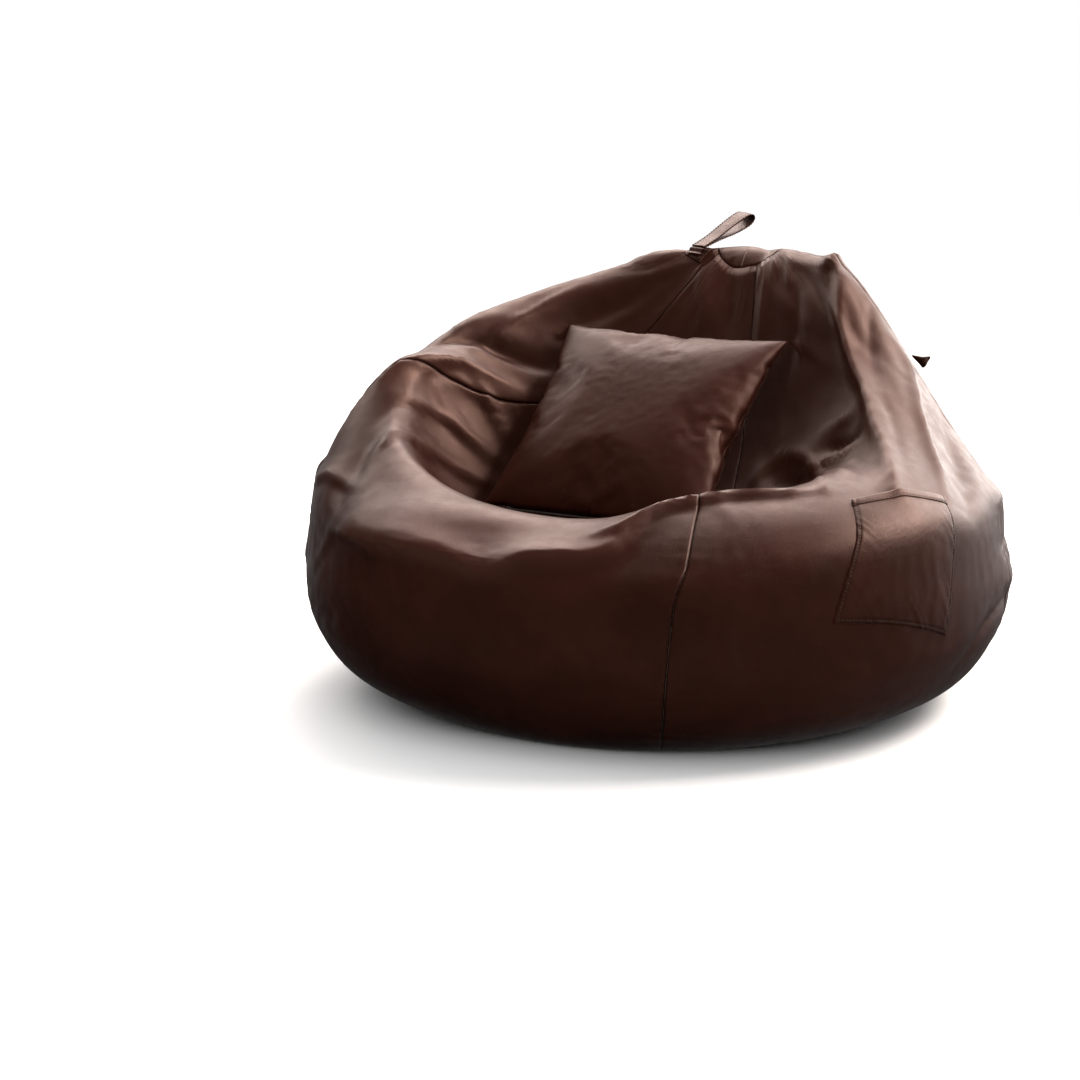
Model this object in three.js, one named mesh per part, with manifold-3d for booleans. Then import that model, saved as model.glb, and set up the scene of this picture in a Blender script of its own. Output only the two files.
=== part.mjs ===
// Bean bag chair: a six-panel leatherette cover over a closed liner full of beads, with a side
// pocket, a lifting handle at the crest, a rear zip, and a loose square pillow lying in the seat.
// Millimetres, +Z up, the seat faces -Y. The origin is the centre of the base panel on the floor.
import * as THREE from "three";
import { mergeVertices } from "three/addons/utils/BufferGeometryUtils.js";
import Module from "manifold-3d";

const wasm = await Module();
wasm.setup();

// ---- Shape of the filled bag. One value for each meridian, every 30 degrees from the front
// ---- (-Y) and turning towards +X, the sitter's left-hand side as seen from in front.
const MERIDIAN_STEP = 30;
const BELLY_RADIUS = [500, 510, 540, 555, 560, 560, 560, 560, 560, 560, 560, 540];
const SHOULDER_RADIUS = [465, 475, 500, 520, 525, 520, 510, 510, 520, 530, 540, 515];
const SHOULDER_HEIGHT = [290, 300, 335, 345, 350, 360, 370, 375, 370, 355, 345, 315];
const RIM_RADIUS = [345, 350, 370, 370, 375, 370, 370, 385, 405, 415, 420, 390];
const RIM_HEIGHT = [335, 362, 385, 410, 505, 650, 674, 636, 572, 530, 440, 370];
const BOWL_RADIUS = [185, 182, 186, 190, 190, 200, 200, 200, 205, 245, 280, 240];
const BOWL_HEIGHT = [234, 248, 277, 300, 360, 450, 480, 445, 383, 312, 238, 220];
const BASE_RADIUS = 385;
const BASE_TANGENT_RADIUS = 300;
const LOW_HEIGHT = 55;
const LOW_INSET = 55;
const BELLY_HEIGHT = 165;
const WAIST_HEIGHT = 255;
const WAIST_INSET = 4;
const SEAT_CENTRE_HEIGHT = 296;
const SPANS = 7; // stretches of a meridian, from the base edge to the middle of the seat

// ---- Cover panels. Seams start at these azimuths on the base and close in on the top cap.
const SEAMS = [27, 102, 155, 205, 252, 303];
const PANEL_COLUMNS = [5, 4, 4, 4, 4, 6];
const ROWS = 15;
const CAP_EDGE = 0.955; // where the panels stop, from 0 at the base edge to 1 at the cap's middle
const CAP_PULL = 0.3197; // how far back the cap's middle lies
const CAP_PULL_POWER = 2.5;
const COVER = 2.5;
const LAYER_GAP = 1;
const LINER = 2;
const SEAM_GAP = 0.3; // each panel stops this far short of its seam
const CLEAR = 0.35; // gap between pieces that rest on one another

// ---- Rear zip, straight up the middle of the rear slope.
const ZIP_ROWS = [0.7, 0.9];
const ZIP_SLOT = 13; // half width of the slot between the rear panels
const ZIP_ROW_STEP = 0.01;
const TAPE = { inner: 2.9, outer: 12.4, thick: 1.2 };
const COIL = { width: 5, thick: 2.2 };
const STOP = { width: 6.5, length: 4, thick: 2.6 };
const SLIDER = { width: 9.5, length: 13, thick: 2, lift: 0.5, start: 16 };
const PIN = { radius: 0.8, height: 3.4, post: 1.4, span: 5.2 };
const PULL = { width: 4.4, length: 34, thick: 1.2, eye: 1.25, reach: 2.3 };

// ---- Lifting handle: a folded strap that stands out of the crest.
const HANDLE_AZIMUTH = 194;
const HANDLE_S = 0.728;
const HANDLE_DIRECTION = new THREE.Vector3(50, 115, 47).normalize();
const STRAP = { width: 32, thick: 2.2, length: 126, root: 1.7, belly: 9.5 };
const ROOT_PATCH = { length: 34, width: 36, thick: 2.2, stand: 7, stub: 4.5 };
const PIVOT_HEIGHT = 11;

// ---- Side pocket on the right front panel: corners as [azimuth, s], s as on a meridian.
const POCKET = {
  topFront: [65.3, 0.643],
  topRear: [85.4, 0.578],
  bottomRear: [76.6, 0.305],
  bottomFront: [53.6, 0.38],
  columns: 6,
  rows: 6,
  thick: 2.5,
  stand: 1.2,
  gape: 22,
};
const HEM = { width: 14, thick: 1.5 };

// ---- Small fabric tab sewn into the right-hand seam.
const TAB = { azimuth: 128, s: 0.672, reach: 22, droop: 22, width: 26, thick: 3, stand: 3.5 };

// ---- Loose pillow, lying against the back of the seat.
const PILLOW = {
  side: 398,
  centre: new THREE.Vector3(-54.8, 34.6, 415.8),
  slope: 40.3, // degrees that its face leans back from level
  turn: -0.6,
  half: 50,
  cover: 1.5,
  cells: 10,
  seamGap: 0.4,
  cornerPinch: 13,
};
const PILLOW_ZIP = { length: 300, width: 9, thick: 3, slider: 9, below: 1 };

const PAINT = {
  leatherette: { color: 0x3d1e15, roughness: 0.42 },
  leatheretteDark: { color: 0x2c1610, roughness: 0.45 },
  lining: { color: 0xd8d2c8, roughness: 0.9 },
  beads: { color: 0xf2f1ee, roughness: 0.8 },
  tape: { color: 0x241410, roughness: 0.85 },
  coil: { color: 0x1c100c, roughness: 0.45 },
  metal: { color: 0x8a7a6a, roughness: 0.35, metalness: 0.9 },
};

const chair = new THREE.Group();

function add(name, geometry, paint, parent = chair) {
  geometry.computeVertexNormals();
  const mesh = new THREE.Mesh(geometry, new THREE.MeshStandardMaterial(PAINT[paint]));
  mesh.name = name;
  parent.add(mesh);
  return mesh;
}

// ---- The bag's outer surface ----

// A value between the meridians, smooth all the way round.
function around(values, azimuth) {
  const count = values.length;
  const x = (((azimuth % 360) + 360) % 360) / MERIDIAN_STEP;
  const i = Math.floor(x);
  const t = x - i;
  const [a, b, c, d] = [-1, 0, 1, 2].map((k) => values[(i + k + count) % count]);
  const cubic = (-a + 3 * b - 3 * c + d) * t ** 3;
  return 0.5 * (2 * b + (c - a) * t + (2 * a - 5 * b + 4 * c - d) * t * t + cubic);
}

// The points that a meridian runs through, as radius and height, one beyond each end.
function knots(azimuth) {
  const at = (values, turn = 0) => around(values, azimuth + turn);
  const belly = at(BELLY_RADIUS);
  return [
    [BASE_TANGENT_RADIUS, 0],
    [BASE_RADIUS, 0],
    [belly - LOW_INSET, LOW_HEIGHT],
    [belly, BELLY_HEIGHT],
    [belly - WAIST_INSET, WAIST_HEIGHT],
    [at(SHOULDER_RADIUS), at(SHOULDER_HEIGHT)],
    [at(RIM_RADIUS), at(RIM_HEIGHT)],
    [at(BOWL_RADIUS), at(BOWL_HEIGHT)],
    [0, SEAT_CENTRE_HEIGHT],
    [-at(BOWL_RADIUS, 180), at(BOWL_HEIGHT, 180)],
  ].map(([radius, height]) => new THREE.Vector2(radius, height));
}

// A point of the surface: s runs from 0 at the base edge to 1 in the middle of the seat.
function surface(azimuth, s) {
  const x = Math.min(Math.max(s, 0), 1) * SPANS;
  const i = Math.min(Math.floor(x), SPANS - 1);
  const p = knots(azimuth).slice(i, i + 4);
  const knot = [0];
  for (let k = 0; k < 3; k++) knot.push(knot[k] + Math.sqrt(p[k].distanceTo(p[k + 1])));
  const t = knot[1] + (knot[2] - knot[1]) * (x - i);
  const mix = (a, b, from, to) => a.clone().lerp(b, (t - from) / (to - from));
  const [a, b, c] = [0, 1, 2].map((k) => mix(p[k], p[k + 1], knot[k], knot[k + 1]));
  const ab = mix(a, b, knot[0], knot[2]);
  const bc = mix(b, c, knot[1], knot[3]);
  const r = mix(ab, bc, knot[1], knot[2]);
  const turn = THREE.MathUtils.degToRad(azimuth);
  return new THREE.Vector3(r.x * Math.sin(turn), -r.x * Math.cos(turn), r.y);
}

// The surface laid out as a flat disc: the base edge is its rim, the seat's middle its centre.
function fromDisc(x, y) {
  const azimuth = THREE.MathUtils.radToDeg(Math.atan2(x, -y));
  return surface(azimuth, 1 - Math.hypot(x, y));
}

function normalAt(x, y) {
  const step = 1e-3;
  const across = fromDisc(x + step, y).sub(fromDisc(x - step, y));
  const along = fromDisc(x, y + step).sub(fromDisc(x, y - step));
  return across.cross(along).normalize();
}

function onDisc(azimuth, s) {
  const turn = THREE.MathUtils.degToRad(azimuth);
  return [(1 - s) * Math.sin(turn), -(1 - s) * Math.cos(turn)];
}

// A point of the cover with its outward normal. Near the base edge the normal points down,
// so that every layer of the bag has a flat bottom.
function skin(x, y) {
  const rim = Math.hypot(x, y) > 1 - 1e-6;
  const normal = rim ? new THREE.Vector3(0, 0, -1) : normalAt(x, y);
  return { point: fromDisc(x, y), normal };
}

// A place on a panel: azimuth of its column at the base, t from the base edge to the cap.
function panelSkin(azimuth, t) {
  const turn = THREE.MathUtils.degToRad(azimuth);
  const pull = CAP_PULL * t ** CAP_PULL_POWER;
  return skin((1 - t) * Math.sin(turn), -(1 - t) * Math.cos(turn) + pull);
}

const offset = (place, distance) => place.point.clone().addScaledVector(place.normal, distance);

// ---- Mesh helpers ----

function meshFrom(points, triangles) {
  const geometry = new THREE.BufferGeometry();
  const flat = points.flatMap((p) => [p.x, p.y, p.z]);
  geometry.setAttribute("position", new THREE.Float32BufferAttribute(flat, 3));
  geometry.setIndex(triangles);
  return geometry;
}

// A curved slab over a grid of places, between two distances from the surface.
function slab(grid, outer, inner) {
  const columns = grid.length;
  const rows = grid[0].length;
  const level = (get) => grid.flatMap((column) => column.map((place) => get(place)));
  const points = [...level((p) => offset(p, outer(p))), ...level((p) => offset(p, inner(p)))];
  const at = (i, j, side) => side * columns * rows + i * rows + j;
  const triangles = [];
  const quad = (a, b, c, d) => triangles.push(a, b, c, a, c, d);
  for (let i = 0; i + 1 < columns; i++) {
    for (let j = 0; j + 1 < rows; j++) {
      quad(at(i, j, 0), at(i + 1, j, 0), at(i + 1, j + 1, 0), at(i, j + 1, 0));
      quad(at(i, j, 1), at(i, j + 1, 1), at(i + 1, j + 1, 1), at(i + 1, j, 1));
    }
    quad(at(i, 0, 1), at(i + 1, 0, 1), at(i + 1, 0, 0), at(i, 0, 0));
    quad(at(i, rows - 1, 0), at(i + 1, rows - 1, 0), at(i + 1, rows - 1, 1), at(i, rows - 1, 1));
  }
  for (let j = 0; j + 1 < rows; j++) {
    quad(at(0, j, 0), at(0, j + 1, 0), at(0, j + 1, 1), at(0, j, 1));
    const last = columns - 1;
    quad(at(last, j + 1, 1), at(last, j + 1, 0), at(last, j, 0), at(last, j, 1));
  }
  return meshFrom(points, triangles);
}

// A round slab from rings of places, each ring inside the last, closed by a middle place.
function disc(rings, middle, outer, inner) {
  const count = rings[0].length;
  const all = [...rings.flat(), middle];
  const points = [...all.map((p) => offset(p, outer)), ...all.map((p) => offset(p, inner))];
  const lower = all.length;
  const triangles = [];
  for (let i = 0; i < count; i++) {
    const next = (i + 1) % count;
    for (let k = 0; k + 1 < rings.length; k++) {
      const [a, b] = [k * count + i, k * count + next];
      const [c, d] = [a + count, b + count];
      triangles.push(a, b, d, a, d, c);
      triangles.push(lower + a, lower + d, lower + b, lower + a, lower + c, lower + d);
    }
    const [a, b] = [(rings.length - 1) * count + i, (rings.length - 1) * count + next];
    triangles.push(a, b, lower - 1, lower + b, lower + a, 2 * lower - 1);
    triangles.push(lower + i, next, i, lower + i, lower + next, next);
  }
  return meshFrom(points, triangles);
}

function toSolid(geometry, matrix = new THREE.Matrix4()) {
  const bare = geometry.clone().applyMatrix4(matrix);
  bare.deleteAttribute("normal");
  bare.deleteAttribute("uv");
  const merged = mergeVertices(bare, 1e-3);
  const triVerts = new Uint32Array(merged.index.array);
  const vertProperties = merged.attributes.position.array;
  return new wasm.Manifold(new wasm.Mesh({ numProp: 3, vertProperties, triVerts }));
}

function toGeometry(solid) {
  const { vertProperties, triVerts } = solid.getMesh();
  const geometry = new THREE.BufferGeometry();
  geometry.setAttribute("position", new THREE.Float32BufferAttribute(vertProperties, 3));
  geometry.setIndex([...triVerts]);
  return geometry;
}

function box(width, length, height, x = 0, y = 0, z = 0) {
  return new THREE.BoxGeometry(width, length, height).translate(x, y, z);
}

// ---- Bag: columns and rows shared by the cover, the liner and the filling ----

function panelColumns(from, to, count) {
  return Array.from({ length: count + 1 }, (_, k) => from + ((to - from) * k) / count);
}

const rowValues = Array.from({ length: ROWS + 1 }, (_, k) => (CAP_EDGE * k) / ROWS)
  .filter((t) => ZIP_ROWS.every((end) => Math.abs(t - end) > 2 * ZIP_ROW_STEP))
  .concat([ZIP_ROWS[0] - ZIP_ROW_STEP, ...ZIP_ROWS, ZIP_ROWS[1] + ZIP_ROW_STEP])
  .sort((a, b) => a - b);

const allColumns = SEAMS.flatMap((from, k) => {
  const to = k + 1 < SEAMS.length ? SEAMS[k + 1] : SEAMS[0] + 360;
  return panelColumns(from, to, PANEL_COLUMNS[k]).slice(0, -1);
});

// The cap's middle and a ring round it, at a share of the cap's radius.
const capMiddle = CAP_PULL * CAP_EDGE ** CAP_PULL_POWER;
function capRing(share) {
  return allColumns.map((azimuth) => {
    const turn = THREE.MathUtils.degToRad(azimuth);
    const radius = (1 - CAP_EDGE) * share;
    return skin(radius * Math.sin(turn), capMiddle - radius * Math.cos(turn));
  });
}

// The whole bag as one solid, its surface moved in by depth.
function bagSolid(depth) {
  const rings = rowValues.map((t) => allColumns.map((azimuth) => panelSkin(azimuth, t)));
  rings.push(capRing(0.5));
  const all = [...rings.flat(), skin(0, capMiddle)];
  const points = all.map((place) => offset(place, -depth));
  points.push(new THREE.Vector3(0, 0, depth));
  const count = allColumns.length;
  const [top, bottom] = [all.length - 1, all.length];
  const triangles = [];
  for (let i = 0; i < count; i++) {
    const next = (i + 1) % count;
    for (let k = 0; k + 1 < rings.length; k++) {
      const [a, b] = [k * count + i, k * count + next];
      triangles.push(a, b, b + count, a, b + count, a + count);
    }
    const last = (rings.length - 1) * count;
    triangles.push(last + i, last + next, top, next, i, bottom);
  }
  return toSolid(meshFrom(points, triangles));
}

const bagOutside = bagSolid(-CLEAR);
const linerDepth = COVER + LAYER_GAP;
const fillDepth = linerDepth + LINER + LAYER_GAP;

// ---- Cover ----

// One panel. Its edges stop short of the seams, and either edge can make room for the zip.
function coverPanel(name, from, to, columns, zipSide = 0) {
  const grid = panelColumns(from, to, columns).map((azimuth) =>
    rowValues.map((t) => panelSkin(azimuth, t)),
  );
  const shrink = (edge, beside) =>
    edge.forEach((place, row) => {
      const inward = beside[row].point.clone().sub(place.point).setLength(SEAM_GAP);
      place.point.add(inward);
    });
  shrink(grid[0], grid[1]);
  shrink(grid[columns], grid[columns - 1]);
  if (zipSide) {
    const edge = zipSide > 0 ? grid[columns] : grid[0];
    rowValues.forEach((t, row) => {
      if (t >= ZIP_ROWS[0] && t <= ZIP_ROWS[1]) edge[row].point.x = zipSide * ZIP_SLOT;
    });
  }
  add(name, slab(grid, () => 0, () => -COVER), "leatherette");
}

coverPanel("front_panel", SEAMS[5] - 360, SEAMS[0], PANEL_COLUMNS[5]);
coverPanel("right_front_panel", SEAMS[0], SEAMS[1], PANEL_COLUMNS[0]);
coverPanel("right_rear_panel", SEAMS[1], SEAMS[2], PANEL_COLUMNS[1]);
coverPanel("rear_right_panel", SEAMS[2], 180, PANEL_COLUMNS[2] / 2, 1);
coverPanel("rear_left_panel", 180, SEAMS[3], PANEL_COLUMNS[2] / 2, -1);
coverPanel("left_rear_panel", SEAMS[3], SEAMS[4], PANEL_COLUMNS[3]);
coverPanel("left_front_panel", SEAMS[4], SEAMS[5], PANEL_COLUMNS[4]);

const capShare = 0.97;
add("top_cap", disc([capRing(capShare), capRing(0.5)], skin(0, capMiddle), 0, -COVER), "leatherette");

function basePanel() {
  const radius = BASE_RADIUS - 2 * SEAM_GAP;
  const up = new THREE.Vector3(0, 0, 1);
  const ring = allColumns.map((azimuth) => {
    const turn = THREE.MathUtils.degToRad(azimuth);
    const point = new THREE.Vector3(radius * Math.sin(turn), -radius * Math.cos(turn), 0);
    return { point, normal: up };
  });
  return disc([ring], { point: new THREE.Vector3(), normal: up }, COVER, 0);
}
add("base_panel", basePanel(), "leatheretteDark");

// ---- Liner with its own zip, and the beads ----

const zipLow = panelSkin(180, ZIP_ROWS[0]);
const zipHigh = panelSkin(180, ZIP_ROWS[1]);
const zipMiddle = zipLow.point.clone().lerp(zipHigh.point, 0.5);
const zipLength = zipLow.point.distanceTo(zipHigh.point);
const linerSlot = (grow) =>
  toSolid(box(24 + grow, 120, 150 + grow, zipMiddle.x, zipMiddle.y, zipMiddle.z));
const linerShell = (outer, inner) => bagSolid(outer).subtract(bagSolid(inner));

const liner = linerShell(linerDepth, linerDepth + LINER).subtract(linerSlot(0));
add("inner_liner", toGeometry(liner), "lining");
const linerZip = linerShell(linerDepth + CLEAR, linerDepth + LINER - CLEAR);
add("liner_zip", toGeometry(linerZip.intersect(linerSlot(-2 * CLEAR))), "tape");
add("bead_filling", toGeometry(bagSolid(fillDepth)), "beads");

// ---- Rear zip: its group stands on the middle of the slot, +Y up the slope, +Z outwards ----

const zip = new THREE.Group();
const zipUp = zipHigh.point.clone().sub(zipLow.point).normalize();
const zipAcross = new THREE.Vector3(-1, 0, 0);
const zipOut = zipAcross.clone().cross(zipUp);
zip.matrixAutoUpdate = false;
zip.matrix.makeBasis(zipAcross, zipUp, zipOut).setPosition(zipMiddle);
chair.add(zip);

const tapeWidth = TAPE.outer - TAPE.inner;
const tapeMiddle = (TAPE.outer + TAPE.inner) / 2;
const tape = (side) => box(tapeWidth, zipLength - 2, TAPE.thick, side * tapeMiddle, 0, -TAPE.thick);
add("zip_tape_right", tape(-1), "tape", zip);
add("zip_tape_left", tape(1), "tape", zip);
const coilLength = zipLength - 2 * STOP.length - 6;
add("zip_coil", box(COIL.width, coilLength, COIL.thick, 0, 0, -COIL.thick / 2), "coil", zip);
for (const [name, side] of [["zip_bottom_stop", -1], ["zip_top_stop", 1]]) {
  const middle = side * (coilLength / 2 + STOP.length / 2 + CLEAR);
  add(name, box(STOP.width - 1, STOP.length, STOP.thick, 0, middle, -STOP.thick / 2 + 1), "metal", zip);
}

const sliderMiddle = coilLength / 2 - SLIDER.start;
const pinZ = SLIDER.lift + SLIDER.thick + PIN.height;

// The slider: a plate over the teeth with two posts and the cross pin that holds the pull.
function slider() {
  const plate = box(SLIDER.width, SLIDER.length, SLIDER.thick, 0, 0, SLIDER.lift + SLIDER.thick / 2);
  const postHeight = PIN.height + PIN.radius + 0.6;
  const postX = (PIN.span + PIN.post) / 2;
  const postZ = SLIDER.lift + SLIDER.thick + postHeight / 2 - 0.2;
  const pin = new THREE.CylinderGeometry(PIN.radius, PIN.radius, PIN.span + PIN.post, 12);
  pin.rotateZ(Math.PI / 2).translate(0, 0, pinZ);
  return [-1, 1]
    .map((side) => toSolid(box(PIN.post, 3.2, postHeight + 0.4, side * postX, 0, postZ)))
    .reduce((whole, post) => whole.add(post), toSolid(plate).add(toSolid(pin)));
}
const sliderPlace = new THREE.Group();
sliderPlace.position.y = sliderMiddle;
zip.add(sliderPlace);
add("zip_slider", toGeometry(slider()), "metal", sliderPlace);

// The pull hangs down the slope from the pin.
function pull() {
  const middle = PULL.reach - PULL.length / 2;
  const eye = new THREE.CylinderGeometry(PULL.eye, PULL.eye, 2 * PULL.width, 16).rotateZ(Math.PI / 2);
  const rim = new THREE.CylinderGeometry(PULL.reach, PULL.reach, PULL.width, 16).rotateZ(Math.PI / 2);
  const plate = box(PULL.width, PULL.length - PULL.reach, PULL.thick, 0, middle - PULL.reach / 2, 0);
  return toSolid(plate).add(toSolid(rim)).subtract(toSolid(eye));
}
const pullPlace = new THREE.Group();
pullPlace.position.z = pinZ;
sliderPlace.add(pullPlace);
add("zip_pull_tab", toGeometry(pull()), "metal", pullPlace);

// ---- Handle: a strap folded over on itself, and the patch that sews it to the crest ----

const handlePlace = skin(...onDisc(HANDLE_AZIMUTH, HANDLE_S));
const handleAcross = new THREE.Vector3(0, 0, 1).cross(HANDLE_DIRECTION).normalize();
const handleUp = HANDLE_DIRECTION.clone().cross(handleAcross);
const pivot = offset(handlePlace, PIVOT_HEIGHT);
const handle = new THREE.Group();
handle.matrixAutoUpdate = false;
handle.matrix.makeBasis(HANDLE_DIRECTION, handleAcross, handleUp).setPosition(pivot);
chair.add(handle);

// The strap leaves the root, opens into a narrow eye and turns back at its far end.
function strap() {
  const tip = STRAP.length;
  const outline = [
    [1, STRAP.root],
    [tip * 0.3, STRAP.root + 1.5],
    [tip * 0.6, STRAP.belly * 0.8],
    [tip * 0.85, STRAP.belly],
  ];
  const far = [tip, 0];
  const back = outline.map(([x, z]) => [x, -z]).reverse();
  const points = [...outline, far, ...back].map(([x, z]) => new THREE.Vector3(x, 0, z));
  const path = new THREE.CatmullRomCurve3(points, false, "centripetal").getSpacedPoints(32);
  const grid = [-1, 1].map((side) =>
    path.map((point, k) => {
      const before = path[Math.max(k - 1, 0)];
      const after = path[Math.min(k + 1, path.length - 1)];
      const forward = after.clone().sub(before).normalize();
      const normal = new THREE.Vector3(0, 1, 0).cross(forward);
      return { point: point.clone().setY((side * STRAP.width) / 2), normal };
    }),
  );
  return slab(grid, () => STRAP.thick / 2, () => -STRAP.thick / 2);
}
add("handle_strap", strap(), "leatherette", handle);

// The sewn-down root: a patch on the cover with a short upstand under the strap's hinge line.
function rootPatch() {
  const place = new THREE.Matrix4();
  const side = handleAcross.clone();
  const forward = side.clone().cross(handlePlace.normal).normalize();
  side.copy(handlePlace.normal).cross(forward);
  place.makeBasis(forward, side, handlePlace.normal).setPosition(handlePlace.point);
  const deep = 24;
  const plate = box(ROOT_PATCH.length, ROOT_PATCH.width, deep, 0, 0, ROOT_PATCH.thick - deep / 2);
  const stub = box(ROOT_PATCH.stub, STRAP.width, deep, -4, 0, ROOT_PATCH.stand - deep / 2);
  return toSolid(plate, place).add(toSolid(stub, place)).subtract(bagOutside);
}
add("handle_patch", toGeometry(rootPatch()), "leatherette");

// ---- Side pocket: sewn down on three edges, gaping a little at its mouth ----

function pocketGrid() {
  const corners = ["bottomFront", "bottomRear", "topRear", "topFront"].map((key) => onDisc(...POCKET[key]));
  const [a, b, c, d] = corners;
  const blend = (u, v, k) =>
    (1 - v) * ((1 - u) * a[k] + u * b[k]) + v * ((1 - u) * d[k] + u * c[k]);
  return Array.from({ length: POCKET.columns + 1 }, (_, i) =>
    Array.from({ length: POCKET.rows + 1 }, (__, j) => {
      const [u, v] = [i / POCKET.columns, j / POCKET.rows];
      const place = skin(blend(u, v, 0), blend(u, v, 1));
      place.stand = POCKET.stand + POCKET.gape * Math.sin(Math.PI * u) ** 0.8 * v ** 0.7;
      return place;
    }),
  );
}
const pocket = pocketGrid();
const pocketInner = (place) => place.stand;
const pocketOuter = (place) => place.stand + POCKET.thick;
const pocketSolid = toSolid(slab(pocket, pocketOuter, pocketInner)).subtract(bagOutside);
add("side_pocket", toGeometry(pocketSolid), "leatherette");

// The hem is a folded band along the outside of the mouth.
function hem() {
  const band = pocket.map((column) => {
    const top = column[POCKET.rows];
    const next = column[POCKET.rows - 1];
    const share = HEM.width / top.point.distanceTo(next.point);
    const low = {
      point: top.point.clone().lerp(next.point, share),
      normal: top.normal.clone().lerp(next.normal, share).normalize(),
      stand: top.stand + (next.stand - top.stand) * share,
    };
    return [low, top];
  });
  const lift = POCKET.thick + CLEAR;
  return slab(band, (p) => p.stand + lift + HEM.thick, (p) => p.stand + lift);
}
add("pocket_hem", toGeometry(toSolid(hem()).subtract(pocketSolid)), "leatherette");

// ---- Seam tab: a folded scrap of the cover that stands out of the seam, droops and swings ----

const tabPlace = skin(...onDisc(TAB.azimuth, TAB.s));
const tabUp = surface(TAB.azimuth, TAB.s + 0.01).sub(surface(TAB.azimuth, TAB.s - 0.01)).normalize();
const tab = new THREE.Group();
tab.matrixAutoUpdate = false;
tab.matrix.makeBasis(tabPlace.normal, tabUp, tabPlace.normal.clone().cross(tabUp).normalize());
tab.matrix.setPosition(offset(tabPlace, TAB.stand));
chair.add(tab);
const tabOutline = new THREE.Shape();
tabOutline.moveTo(0, -TAB.width / 2);
tabOutline.lineTo(TAB.reach * 0.75, -TAB.width / 2 - TAB.droop * 0.7);
tabOutline.quadraticCurveTo(TAB.reach * 1.1, -TAB.width / 2 - TAB.droop * 0.6, TAB.reach, -TAB.droop);
tabOutline.quadraticCurveTo(TAB.reach * 0.6, TAB.width * 0.2, 0, TAB.width / 2);
const tabSolid = new THREE.ExtrudeGeometry(tabOutline, { depth: TAB.thick, bevelEnabled: false });
add("seam_tab", tabSolid.translate(0, 0, -TAB.thick / 2), "leatherette", tab);

// ---- Pillow: its group lies in its own plane, +Y up the slope, +Z out of its front face ----

const pillow = new THREE.Group();
pillow.rotation.set(THREE.MathUtils.degToRad(PILLOW.slope), 0, THREE.MathUtils.degToRad(PILLOW.turn));
pillow.position.copy(PILLOW.centre);
chair.add(pillow);

// Height of the cushion over its middle plane, and how far its edges draw in between corners.
function pillowHeight(u, v, less) {
  const crown = (w) => Math.max(0, 1 - Math.abs(w) ** 3.2) ** 0.62;
  return Math.max(0, PILLOW.half * crown(u) * crown(v) - less);
}
function pillowPoint(u, v, z, shrink) {
  const reach = PILLOW.side / 2 - shrink;
  const draw = (w) => 1 - (PILLOW.cornerPinch / reach) * (1 - w * w);
  return new THREE.Vector3(u * reach * draw(v), v * reach * draw(u), z);
}

// A crowned sheet or solid between two height functions, over the whole square.
function pillowPiece(top, bottom, shrink) {
  const cells = PILLOW.cells;
  const count = cells + 1;
  const share = (k) => Math.sin(((2 * k) / cells - 1) * (Math.PI / 2) * 0.98) / Math.sin(0.49 * Math.PI);
  const level = (height) =>
    Array.from({ length: count * count }, (_, k) => {
      const [u, v] = [share(Math.floor(k / count)), share(k % count)];
      return pillowPoint(u, v, height(u, v), shrink);
    });
  const points = [...level(top), ...level(bottom)];
  const at = (i, j, side) => side * count * count + i * count + j;
  const triangles = [];
  const quad = (a, b, c, d) => triangles.push(a, b, c, a, c, d);
  for (let i = 0; i < cells; i++) {
    for (let j = 0; j < cells; j++) {
      quad(at(i, j, 0), at(i + 1, j, 0), at(i + 1, j + 1, 0), at(i, j + 1, 0));
      quad(at(i, j, 1), at(i, j + 1, 1), at(i + 1, j + 1, 1), at(i + 1, j, 1));
    }
    quad(at(i, 0, 1), at(i + 1, 0, 1), at(i + 1, 0, 0), at(i, 0, 0));
    quad(at(i, cells, 0), at(i + 1, cells, 0), at(i + 1, cells, 1), at(i, cells, 1));
    quad(at(0, i, 0), at(0, i + 1, 0), at(0, i + 1, 1), at(0, i, 1));
    quad(at(cells, i, 1), at(cells, i + 1, 1), at(cells, i + 1, 0), at(cells, i, 0));
  }
  return meshFrom(points, triangles);
}

const halfGap = PILLOW.seamGap / 2;
const coverOuter = (u, v) => pillowHeight(u, v, 0) + halfGap + PILLOW.cover;
const coverInner = (u, v) => pillowHeight(u, v, 0) + halfGap;
const flip = (height) => (u, v) => -height(u, v);
add("pillow_front_cover", pillowPiece(coverOuter, coverInner, 0), "leatherette", pillow);
add("pillow_back_cover", pillowPiece(flip(coverInner), flip(coverOuter), 0), "leatherette", pillow);
const insertTop = (u, v) => Math.max(pillowHeight(u, v, 3), 0.05) + 0.1;
const insertSide = 14;
function pillowInsert() {
  const inside = pillowPiece(coverInner, flip(coverInner), 0);
  const shape = toSolid(pillowPiece(insertTop, flip(insertTop), insertSide));
  return shape.intersect(toSolid(inside));
}
add("pillow_insert", toGeometry(pillowInsert()), "lining", pillow);

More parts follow.
